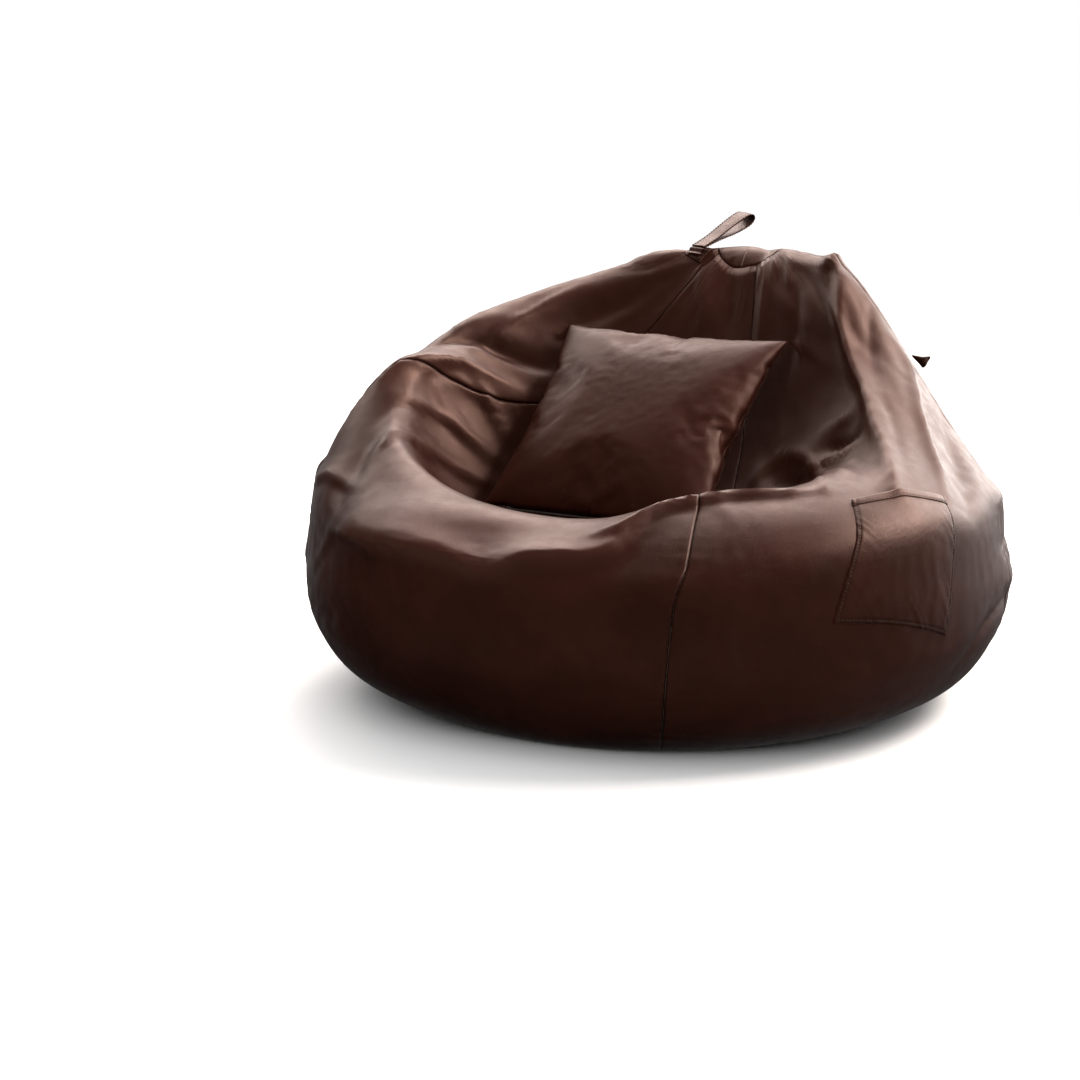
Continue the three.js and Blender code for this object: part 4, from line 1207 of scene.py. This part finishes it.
def make_tab(leather, thread):
    point, normal = (np.array(v, float) for v in skin(*on_meridian(*TAB_PLACE)))
    up = surface(TAB_PLACE[0], TAB_PLACE[1] + 0.01) - surface(TAB_PLACE[0], TAB_PLACE[1] - 0.01)
    up /= np.linalg.norm(up)
    third = np.cross(normal, up)
    third /= np.linalg.norm(third)
    place = Matrix(np.stack([normal, up, third], -1).tolist()).to_4x4()
    place.translation = Vector(point + normal * TAB_STAND)
    a, b = np.meshgrid(np.linspace(0, 1, 28), np.linspace(0, 1, 22), indexing="ij")
    tip_x = TAB_REACH * (0.72 + 0.30 * np.sin(math.pi * np.clip(a * 0.9 + 0.05, 0, 1)))
    root_y = TAB_WIDTH * (0.5 - a)
    tip_y = -TAB_DROOP * (0.62 + 0.72 * a)
    x = tip_x * b**0.9
    y = root_y + (tip_y - root_y) * b**1.3
    curl = 0.0050 * np.sin(1.5 * math.pi * b) * (0.4 + 0.6 * a) + 0.0012 * np.sin(7 * a + 2 * b)
    edge = np.minimum(np.minimum(a, 1 - a) * TAB_WIDTH, (1 - b) * TAB_REACH)
    pinch = 0.0011 * np.exp(-edge / 0.0016)
    groove = 0.0005 * np.exp(-(((edge - TAB_STITCH_IN) / 0.0009) ** 2))
    half = 0.0017 - pinch - groove
    outer = [in_place(np.stack([x, y, curl + side * half], -1), place) for side in (1, -1)]
    # painted shade in the stitch groove across the tab
    seam = np.exp(-np.abs(edge - TAB_STITCH_IN) / 0.0015)
    number = numbered(*a.shape)
    points = np.concatenate([layer.reshape(-1, 3) for layer in outer])
    piece = mesh_object("seam_tab_leather", points, closed_sides(number, rim_of(number)))
    set_attribute(piece.data, "seam", np.tile(seam.ravel(), 2))
    set_attribute(piece.data, "ridge", np.full(2 * a.size, 0.2))
    finish_piece(piece, "tab", "cover", leather, "seam_tab")
    out = np.array(place.to_3x3())[:, 2]
    row = int(0.84 * (a.shape[1] - 1))
    lines = []
    for layer, way in zip(outer, (out, -out)):
        lines.append((layer[2:-2, row], np.repeat(way[None], a.shape[0] - 4, 0)))
    finish_piece(stitches("seam_tab_stitching", lines, 0.0002), "tab", "cover", thread)


# === Zips ===
TAPE_INNER, TAPE_OUTER, TAPE_THICK = 0.0026, 0.0124, 0.0009
TOOTH_PITCH, TOOTH_WIDTH, TOOTH_HIGH = 0.0022, 0.0052, 0.0022
STOP_LENGTH, STOP_CHAMFER = 0.004, 0.0004
SLIDER_START, SLIDER_PIN = 0.016, 0.0059
SLIDER_LENGTH, SLIDER_WIDTH, SLIDER_LEVEL, SLIDER_POST = 0.013, 0.0095, 0.0005, 0.0033
SLIDER_OUTLINE = [(-0.30, -0.5), (0.30, -0.5), (0.42, -0.28), (0.5, 0.12), (0.44, 0.42)]
SLIDER_OUTLINE += [(0.2, 0.5), (-0.2, 0.5), (-0.44, 0.42), (-0.5, 0.12), (-0.42, -0.28)]
PULL_LENGTH, PULL_WIDTH, PULL_THICK, PULL_REACH = 0.034, 0.0044, 0.0012, 0.0023
PULL_NECK, PULL_EYE_RADIUS, PULL_SIDES = -0.0030, 0.00175, 12


def block(half, place):
    """A block with all its upright, top and bottom edges chamfered, as (points, faces)."""
    x, y, z = half
    chamfer = STOP_CHAMFER
    verts = []
    for h, inset in ((-z, chamfer), (-z + chamfer, 0), (z - chamfer, 0), (z, chamfer)):
        for sx, sy in ((-1, -1), (1, -1), (1, 1), (-1, 1)):
            beside = (sx * (x - inset - chamfer), sy * (y - inset), h)
            above = (sx * (x - inset), sy * (y - inset - chamfer), h)
            verts += [beside, above] if sx * sy < 0 else [above, beside]
    return np.array(verts) + np.array(place), ring_faces(4, 8)


def tube(path, radius, sides=8, closed=False):
    """A round tube along a path as (points, faces). radius is one value or one for each point."""
    path = np.asarray(path, float)
    radius = np.broadcast_to(radius, len(path))
    if closed:
        forward = np.roll(path, -1, 0) - np.roll(path, 1, 0)
    else:
        forward = np.gradient(path, axis=0)
    forward /= np.linalg.norm(forward, axis=1, keepdims=True)
    guide = np.array([0.31, 0.53, 0.79])
    verts = []
    for place, way, size in zip(path, forward, radius):
        first = np.cross(way, guide)
        first /= np.linalg.norm(first)
        second = np.cross(way, first)
        for k in range(sides):
            angle = 2 * math.pi * k / sides
            verts.append(place + size * (math.cos(angle) * first + math.sin(angle) * second))
    return np.array(verts), ring_faces(len(path), sides, closed=closed)


def joined(name, shapes, place):
    """One object from several (points, faces), set in its place."""
    verts, faces = [], []
    for points, polygons in shapes:
        base = len(verts)
        verts += [tuple(p) for p in points]
        faces += [tuple(base + k for k in polygon) for polygon in polygons]
    return mesh_object(name, in_place(verts, place), faces)


def reshaped(shapes, size=(1, 1, 1), shift=(0, 0, 0)):
    return [(points * np.array(size) + np.array(shift), faces) for points, faces in shapes]


def zip_frame(bag):
    across = Vector((-1, 0, 0))
    matrix = Matrix((across, Vector(bag.zip_up), Vector(bag.zip_out))).transposed().to_4x4()
    return Matrix.Translation(Vector(bag.zip_middle)) @ matrix


def tooth_row(length, width=TOOTH_WIDTH, high=TOOTH_HIGH, pitch=TOOTH_PITCH):
    """A coil zip's teeth: short arches from both sides, meshed down the middle."""
    shapes = []
    for k in range(int(length / pitch)):
        y = -length / 2 + (k + 0.5) * pitch
        side = 1 if k % 2 else -1
        arch = [
            (side * width / 2, y - pitch * 0.1, -0.2 * high),
            (side * width * 0.42, y, 0.22 * high),
            (side * width * 0.15, y + pitch * 0.08, 0.42 * high),
            (-side * width * 0.16, y + pitch * 0.12, 0.30 * high),
            (-side * width * 0.22, y + pitch * 0.12, -0.15 * high),
        ]
        shapes.append(tube(arch, [0.0005, 0.00062, 0.0007, 0.0008, 0.0006], 6))
    for side in (1, -1):
        line = [(side * width * 0.36, y, 0.30 * high) for y in np.linspace(-length / 2, length / 2, 60)]
        shapes.append(tube(line, 0.00045, 6))
    return shapes


def tape_grid(inner, outer, length, side, level=-0.0012):
    """A woven zip tape from its inner edge outwards, with a fine rib and a raised inner edge."""
    x = np.linspace(inner, outer, 8)
    y = np.linspace(-length / 2, length / 2, 90)
    gx, gy = np.meshgrid(x, y, indexing="ij")
    rib = 0.00018 * np.sin(gy / 0.0011) * (gx - inner) / (outer - inner)
    z = level + rib + 0.0004 * np.exp(-(gx - inner) / 0.0006)
    grid = np.stack([side * gx, gy, z], -1)
    return grid if side > 0 else grid[::-1]


def slider_shapes():
    """A zip slider: a body that narrows to its tail, side rails, and a bridge over its pin."""
    verts = []
    for inset, z in ((0.06, 0.0), (0.0, 0.0004), (0.0, 0.0014), (0.05, 0.0019), (0.16, 0.0021)):
        width, length = SLIDER_WIDTH, SLIDER_LENGTH
        for x, y in SLIDER_OUTLINE:
            verts.append((x * width * (1 - inset), y * length * (1 - inset), SLIDER_LEVEL + z))
    shapes = [(np.array(verts), ring_faces(5, len(SLIDER_OUTLINE)))]
    foot, shoulder, top = SLIDER_LEVEL + 0.0016, SLIDER_PIN - 0.0006, SLIDER_PIN + 0.0006
    arch = ((-0.0030, foot), (-0.0014, shoulder), (0, top), (0.0014, shoulder), (0.0030, foot))
    for x in (-SLIDER_POST, SLIDER_POST):
        shapes.append(tube(curve_through([(x, y, z) for y, z in arch], 14), 0.00075, 8))
    shapes.append(tube([(x, 0, SLIDER_PIN) for x in (-SLIDER_POST, SLIDER_POST)], 0.0008, 10))
    return shapes


def pull_shapes():
    """The pull: an eye round the pin, a waisted shank and a rounded grip."""
    verts = []
    stations = np.linspace(0, 1, 26)
    for s in stations:
        y = PULL_NECK + (PULL_REACH - PULL_LENGTH - PULL_NECK) * s
        w = PULL_WIDTH / 2
        if s < 0.66:
            w = w * (0.78 + 0.22 * math.cos(2 * math.pi * min(s * 1.5, 1)))
        cap = math.sqrt(max(0.0, 1 - max(0, (s - 0.93) / 0.07) ** 2))
        start = math.sqrt(max(0.15, 1 - max(0, (0.03 - s) / 0.03) ** 2))
        w, t = w * max(cap, 0.12) * start, PULL_THICK / 2 * max(0.5, cap)
        for k in range(PULL_SIDES):
            angle = 2 * math.pi * (k + 0.5) / PULL_SIDES
            x, z = math.cos(angle), math.sin(angle)
            verts.append((w * np.sign(x) * abs(x) ** 0.45, y, t * np.sign(z) * abs(z) ** 0.6))
    faces = [face[::-1] for face in ring_faces(len(stations), PULL_SIDES)]
    shapes = [(np.array(verts), faces)]
    turns = np.linspace(0, 2 * math.pi, 20, endpoint=False)
    for x in (-0.0013, 0, 0.0013):
        ring = [(x, PULL_EYE_RADIUS * math.cos(t), PULL_EYE_RADIUS * math.sin(t)) for t in turns]
        shapes.append(tube(ring, 0.00060, 8, closed=True))
    for side in (-1, 1):
        arm = [(side * 0.0013, -0.0016, 0), (side * 0.0012, -0.0040, 0)]
        shapes.append(tube(arm, 0.0006, 8))
    return shapes


def make_zip(bag, tape, coil, metal, lining_tape):
    place = zip_frame(bag)
    length = bag.zip_length
    for name, side in (("zip_tape_right", -1), ("zip_tape_left", 1)):
        grid = tape_grid(TAPE_INNER, TAPE_OUTER, length - 0.002, side)
        piece = sheet_piece(name + "_woven", in_place(grid, place), TAPE_THICK)
        finish_piece(piece, "bag", "zip_tape", tape, name)
    coil_length = length - 2 * STOP_LENGTH - 0.006
    shapes = reshaped(tooth_row(coil_length), shift=(0, 0, -0.0006))
    piece = joined("zip_coil_teeth", shapes, place)
    finish_piece(piece, "bag", "zip_coil", coil, "zip_coil")
    for name, side in (("zip_bottom_stop", -1), ("zip_top_stop", 1)):
        y = side * (coil_length / 2 + STOP_LENGTH / 2 + 0.0004)
        piece = joined(name + "_metal", [block((0.0026, 0.0018, 0.0010), (0, y, -0.0002))], place)
        finish_piece(piece, "bag", "zip_metal", metal, name)
    slider_place = place @ Matrix.Translation((0, coil_length / 2 - SLIDER_START, 0))
    piece = joined("zip_slider_metal", slider_shapes(), slider_place)
    finish_piece(piece, "rear_zip_slider", "zip_metal", metal, "zip_slider")
    pull_place = slider_place @ Matrix.Translation((0, 0, SLIDER_PIN))
    piece = joined("zip_pull_metal", pull_shapes(), pull_place)
    finish_piece(piece, "rear_zip_pull", "zip_metal", metal, "zip_pull_tab")
    low = -LINER_INSET + ZIP_TOP_SIDE + 0.0009
    shapes = reshaped(tooth_row(0.146, pitch=0.0026), (0.7, 1, 0.4), (0, 0, low + 0.0005))
    piece = joined("liner_zip_teeth", shapes, place)
    finish_piece(piece, "bag", "zip_tape", coil)
    grid = tape_grid(-0.0118, 0.0118, 0.148, 1, low)
    piece = sheet_piece("liner_zip_tape", in_place(grid, place), 0.0006)
    finish_piece(piece, "bag", "zip_tape", lining_tape, "liner_zip")


# === Pillow pieces ===
PILLOW_COVER, PILLOW_EDGE_GAP = 0.0013, 0.0003
PILLOW_ZIP_LENGTH, PILLOW_ZIP_LINE = 0.300, -0.2012
INSERT_SHARE, INSERT_UNDER = 0.93, 0.0036


def drawn_in(sheet, share):
    """A sheet's inner part, laid out again on as many rows and columns as the whole."""
    for axis in (0, 1):
        middle = (sheet.shape[axis] - 1) / 2
        where = middle + (np.arange(sheet.shape[axis]) - middle) * share
        low = np.floor(where).astype(int)
        part = (where - low).reshape((-1, 1, 1) if axis == 0 else (1, -1, 1))
        sheet = np.take(sheet, low, axis) * (1 - part) + np.take(sheet, low + 1, axis) * part
    return sheet


def make_pillow(front, back, leather, lining, tape, coil, metal):
    edges = []
    for axis in (0, 1):
        first = steps(front, axis)
        edges.append(np.minimum(first, np.take(first, [-1], axis) - first))
    edge = np.minimum(*edges)
    along = np.where(edges[0] < edges[1], steps(front, 1), steps(front, 0))
    gather = 0.0011 * uneven(along * 2 * math.pi / 0.021, 4)
    gather = gather * np.exp(-edge / 0.022) * (1 - np.exp(-edge / 0.004))
    roll = 0.0016 * np.exp(-(((edge - 0.004) / 0.003) ** 2))
    # painted shade along the pillow's rolled, sewn edge
    looks = {"seam": np.exp(-edge / 0.004), "ridge": gather / 0.0015}
    for sheet, side, name in ((front, 1, "pillow_front_cover"), (back, -1, "pillow_back_cover")):
        grid = sheet.copy()
        grid[..., 2] += side * (PILLOW_EDGE_GAP + gather + roll)
        grid = in_place(grid if side > 0 else grid[::-1], PILLOW_PLACE)
        piece = sheet_piece(name + "_leather", grid, PILLOW_COVER, **looks)
        finish_piece(piece, "pillow", "pillow_cover", leather, name)
    make_insert(front, back, lining)
    make_pillow_zip(front, tape, coil, metal)


def make_insert(front, back, lining):
    """The pillow's insert, a little inside the edges and the faces of its two covers."""
    front_part, back_part = (drawn_in(sheet, INSERT_SHARE) for sheet in (front, back))
    middle = (front_part + back_part) / 2
    half = np.linalg.norm(front_part - middle, axis=-1, keepdims=True)
    share = np.clip(1 - INSERT_UNDER / np.maximum(half, 1e-6), 0.12, 0.85)
    grids = [middle + (part - middle) * share for part in (front_part, back_part)]
    number = numbered(*front.shape[:2])
    points = in_place(np.concatenate([grid.reshape(-1, 3) for grid in grids]), PILLOW_PLACE)
    insert = mesh_object("pillow_insert_woven", points, closed_sides(number, rim_of(number.T)))
    finish_piece(insert, "pillow", "lining", lining, "pillow_insert")


def make_pillow_zip(front, tape, coil, metal):
    edge = front[:, 0]
    x = np.linspace(-PILLOW_ZIP_LENGTH / 2, PILLOW_ZIP_LENGTH / 2, 120)
    near = np.interp(x, edge[:, 0], edge[:, 1]) + 0.0035
    share = np.linspace(0, 1, 6)
    y = near[:, None] + (PILLOW_ZIP_LINE + 0.0008 - near[:, None]) * share[None]
    z = 0.00035 * np.sin(x / 0.0013)[:, None] * share[None] + 0.0002
    grid = np.stack([np.repeat(x[:, None], 6, 1), y, z + 0 * y], -1)
    piece = sheet_piece("pillow_zip_tape", in_place(grid[::-1], PILLOW_PLACE), 0.0004)
    finish_piece(piece, "pillow", "zip_tape", tape, "pillow_zip")
    shapes = tooth_row(PILLOW_ZIP_LENGTH - 0.006, width=0.0036, high=0.0020, pitch=0.0024)
    turn = Matrix(((0, 1, 0), (0, 0, -1), (-1, 0, 0))).to_4x4()
    place = PILLOW_PLACE @ Matrix.Translation((0, PILLOW_ZIP_LINE, 0)) @ turn
    piece = joined("pillow_zip_teeth", shapes, place)
    finish_piece(piece, "pillow", "zip_tape", coil)
    slider_x = PILLOW_ZIP_LENGTH / 2 - 0.009
    place = PILLOW_PLACE @ Matrix.Translation((slider_x, PILLOW_ZIP_LINE - 0.0006, 0)) @ turn
    piece = joined("pillow_zip_slider_metal", reshaped(slider_shapes(), (0.6, 0.62, 0.55)), place)
    finish_piece(piece, "pillow_slider", "zip_metal", metal, "pillow_zip_slider")


# === Materials ===
class Nodes:
    """Adds nodes to a material or a world, each fed by other nodes or by plain values."""

    def __init__(self, owner):
        owner.use_nodes = True
        self.tree = owner.node_tree

    def feed(self, socket, value):
        if isinstance(value, bpy.types.NodeSocket):
            self.tree.links.new(value, socket)
        else:
            socket.default_value = (*value, 1) if isinstance(value, tuple) else value

    def add(self, kind, inputs, output=None, **settings):
        """A new node with these settings and inputs: one of its outputs, or all of the node."""
        made = self.tree.nodes.new("ShaderNode" + kind)
        for key, value in settings.items():
            setattr(made, key, value)
        for key, value in inputs.items():
            self.feed(made.inputs[key], value)
        return made if output is None else made.outputs[output]

    def combined(self, operation, first, second):
        return self.add("Math", {0: first, 1: second}, 0, operation=operation)

    def spread(self, value, low, high, to_low, to_high):
        """Maps a value from one range to another."""
        ends = {"From Min": low, "From Max": high, "To Min": to_low, "To Max": to_high}
        return self.add("MapRange", {"Value": value, **ends}, 0)


class Paint(Nodes):
    """A procedural material: its shader and the patterns that feed it."""

    def __init__(self, name):
        self.material = bpy.data.materials.new(name)
        super().__init__(self.material)
        self.shader = self.tree.nodes["Principled BSDF"].inputs
        self.place = None

    def pattern(self, kind, inputs, output, **settings):
        """A texture over the piece's own space."""
        if self.place is None:
            self.place = self.add("TexCoord", {}, "Object")
        return self.add("Tex" + kind, {"Vector": self.place, **inputs}, output, **settings)

    def noise(self, scale, detail=4.0, rough=0.55, warp=0.0):
        inputs = {"Scale": scale, "Detail": detail, "Roughness": rough, "Distortion": warp}
        return self.pattern("Noise", inputs, "Fac")

    def cells(self, scale, feature="DISTANCE_TO_EDGE"):
        return self.pattern("Voronoi", {"Scale": scale}, "Distance", feature=feature)

    def wave(self, scale, direction, **more):
        return self.pattern("Wave", {"Scale": scale, **more}, "Fac", bands_direction=direction)

    def attribute(self, name):
        return self.add("Attribute", {}, "Fac", attribute_name=name)

    def mixed(self, factor, first, second):
        """A mix of two colours, each a node output or a plain colour."""
        colours = {"Factor": factor, "A": first, "B": second}
        return self.add("Mix", colours, "Result", data_type="RGBA")

    def finish(self, colour, roughness, bumps=(), **more):
        """Feeds the shader. Each bump is (height, strength, distance), the later over the earlier."""
        self.feed(self.shader["Base Color"], colour)
        self.feed(self.shader["Roughness"], roughness)
        for key, value in more.items():
            self.feed(self.shader[key.replace("_", " ")], value)
        normal = {}
        for height, strength, distance in bumps:
            inputs = {"Height": height, "Strength": strength, "Distance": distance, **normal}
            normal = {"Normal": self.add("Bump", inputs, "Normal")}
        for key, value in normal.items():
            self.feed(self.shader[key], value)
        return self.material


def leather(name, deep, body, worn, rough=(0.33, 0.46), shine=0.40):
    """PU leatherette: a fine pebbled grain with pores, mottled colour, paler worn ridges, and painted shade
    along seams and edges.
    """
    paint = Paint(name)
    spread, mixed = paint.spread, paint.mixed
    cloud = paint.noise(5.0, 6, 0.62, 0.4)
    mottle = paint.noise(46.0, 5, 0.6)
    pebble = paint.cells(560.0)
    pores = paint.noise(1500.0, 2, 0.5)
    creases = paint.noise(70.0, 7, 0.68, 1.6)
    colour = mixed(spread(cloud, 0.3, 0.7, 0, 1), deep, body)
    colour = mixed(spread(mottle, 0.62, 0.8, 0, 0.35), colour, worn)
    colour = mixed(spread(paint.attribute("ridge"), 0.15, 1.0, 0, 0.5), colour, worn)
    dark = tuple(c * 0.35 for c in deep)
    # painted shade: the seam attribute darkens the colour where seams, stitch grooves and edges sink in
    colour = mixed(spread(paint.attribute("seam"), 0.25, 1.0, 0, 0.6), colour, dark)
    colour = mixed(spread(pebble, 0.0, 0.06, 0.45, 0), colour, dark)
    grain = spread(pebble, 0.0, 0.22, 0, 1)
    bumps = [(creases, 0.22, 0.0012), (grain, 0.30, 0.0003), (pores, 0.15, 0.00012)]
    sheen = {"Specular_IOR_Level": shine, "Specular_Tint": (0.95, 0.55, 0.42)}
    return paint.finish(colour, spread(mottle, 0.3, 0.7, *rough), bumps, **sheen)


def woven(name, deep, light, scale, rough=0.85, depth=0.0003):
    """Plain-woven cloth: crossing threads, with slubs and a little dirt."""
    paint = Paint(name)
    spread = paint.spread
    x, y, z = (paint.wave(scale, way, Distortion=0.6, Detail=1) for way in "XYZ")
    threads = paint.combined("MAXIMUM", paint.combined("MULTIPLY", x, z), y)
    slubs = paint.noise(60.0, 5, 0.6)
    colour = paint.mixed(threads, deep, light)
    colour = paint.mixed(spread(slubs, 0.5, 0.8, 0, 0.4), colour, deep)
    roughness = spread(slubs, 0.3, 0.7, rough - 0.08, rough + 0.06)
    return paint.finish(colour, roughness, [(threads, 0.6, depth), (slubs, 0.3, 0.0004)], Sheen_Weight=0.25)


def bead_material():
    """Expanded polystyrene beads, packed close, with painted shade in the gaps between them."""
    paint = Paint("polystyrene_beads")
    spread, mixed = paint.spread, paint.mixed
    near = paint.cells(240.0, "F1")
    edge = paint.cells(240.0)
    shade = paint.noise(30.0, 3)
    # painted shade: dark grey at the cell edges, in the gaps between beads
    colour = mixed(spread(edge, 0, 0.25, 0, 1), (0.42, 0.41, 0.39), (0.86, 0.86, 0.84))
    colour = mixed(spread(shade, 0.5, 0.8, 0, 0.3), colour, (0.72, 0.71, 0.67))
    bumps = [(spread(near, 0.0, 0.7, 1, 0), 0.9, 0.0015)]
    return paint.finish(colour, spread(near, 0, 0.6, 0.5, 0.8), bumps, Subsurface_Weight=0.1)


def thread_material():
    paint = Paint("bonded_thread")
    twist = paint.wave(900, "DIAGONAL")
    shade = paint.noise(25.0, 3)
    colour = paint.mixed(twist, (0.012, 0.006, 0.004), (0.045, 0.022, 0.014))
    colour = paint.mixed(paint.spread(shade, 0.4, 0.8, 0, 0.5), colour, (0.02, 0.01, 0.007))
    return paint.finish(colour, paint.spread(shade, 0.3, 0.7, 0.5, 0.65), [(twist, 0.5, 0.0001)])


def coil_material():
    paint = Paint("nylon_coil")
    shade = paint.noise(160.0, 4)
    colour = paint.mixed(shade, (0.010, 0.006, 0.004), (0.030, 0.017, 0.012))
    return paint.finish(colour, paint.spread(shade, 0.3, 0.7, 0.28, 0.42), [(shade, 0.2, 0.0001)])


def metal_material():
    """Brushed, slightly tarnished zip metal, darker in random tarnished patches."""
    paint = Paint("antique_brass")
    tarnish = paint.noise(140.0, 6, 0.6)
    scratches = paint.noise(900.0, 3, 0.7, 2.0)
    dull = paint.spread(tarnish, 0.35, 0.7, 0, 1)
    colour = paint.mixed(dull, (0.30, 0.24, 0.17), (0.11, 0.085, 0.06))
    roughness = paint.spread(tarnish, 0.3, 0.7, 0.22, 0.48)
    return paint.finish(colour, roughness, [(scratches, 0.12, 0.0001)], Metallic=1.0)


# === The chair ===
BROWN = ((0.014, 0.0034, 0.0020), (0.027, 0.0066, 0.0036), (0.052, 0.019, 0.013))
PILLOW_BROWN = ((0.018, 0.0044, 0.0025), (0.034, 0.0085, 0.0046), (0.056, 0.021, 0.014))
BASE_BROWN = ((0.012, 0.0034, 0.0021), (0.020, 0.0057, 0.0036), (0.034, 0.015, 0.011))


def make_chair():
    brown = leather("leatherette_brown", *BROWN)
    pillow_brown = leather("leatherette_pillow", *PILLOW_BROWN, (0.36, 0.48), 0.22)
    base_brown = leather("leatherette_base", *BASE_BROWN, (0.46, 0.60))
    lining = woven("liner_cloth", (0.50, 0.47, 0.42), (0.72, 0.69, 0.63), 180.0)
    tape = woven("zip_tape_cloth", (0.012, 0.007, 0.005), (0.035, 0.020, 0.015), 300.0, 0.8, 0.0002)
    thread, coil, metal, beads = thread_material(), coil_material(), metal_material(), bead_material()

    front, back = (straight_zip_edge(sheet) for sheet in pillow_sheets())
    make_pillow(front, back, pillow_brown, lining, tape, coil, metal)

    number = numbered(*front.shape[:2])
    points = [in_place(sheet, PILLOW_PLACE).reshape(-1, 3) for sheet in (front, back)]
    bag = Bag(np.concatenate(points), two_sides(number, number + number.size))
    for name, (start, stop) in PANELS.items():
        make_panel(bag, name, start, stop, brown)
    make_cap(bag, brown)
    make_base(base_brown)
    liner = inner_layer(bag, "inner_liner_cloth", LINER_INSET)
    finish_piece(liner, "bag", "lining", lining, "inner_liner")
    filling = inner_layer(bag, "bead_filling_mass", FILLING_INSET)
    finish_piece(filling, "bag", "beads", beads, "bead_filling")
    make_pocket(bag, brown, thread)
    make_handle(bag, brown, thread)
    make_tab(brown, thread)
    make_zip(bag, tape, coil, metal, lining)


make_camera()
make_lights()
make_floor()
make_chair()
bpy.context.view_layer.update()
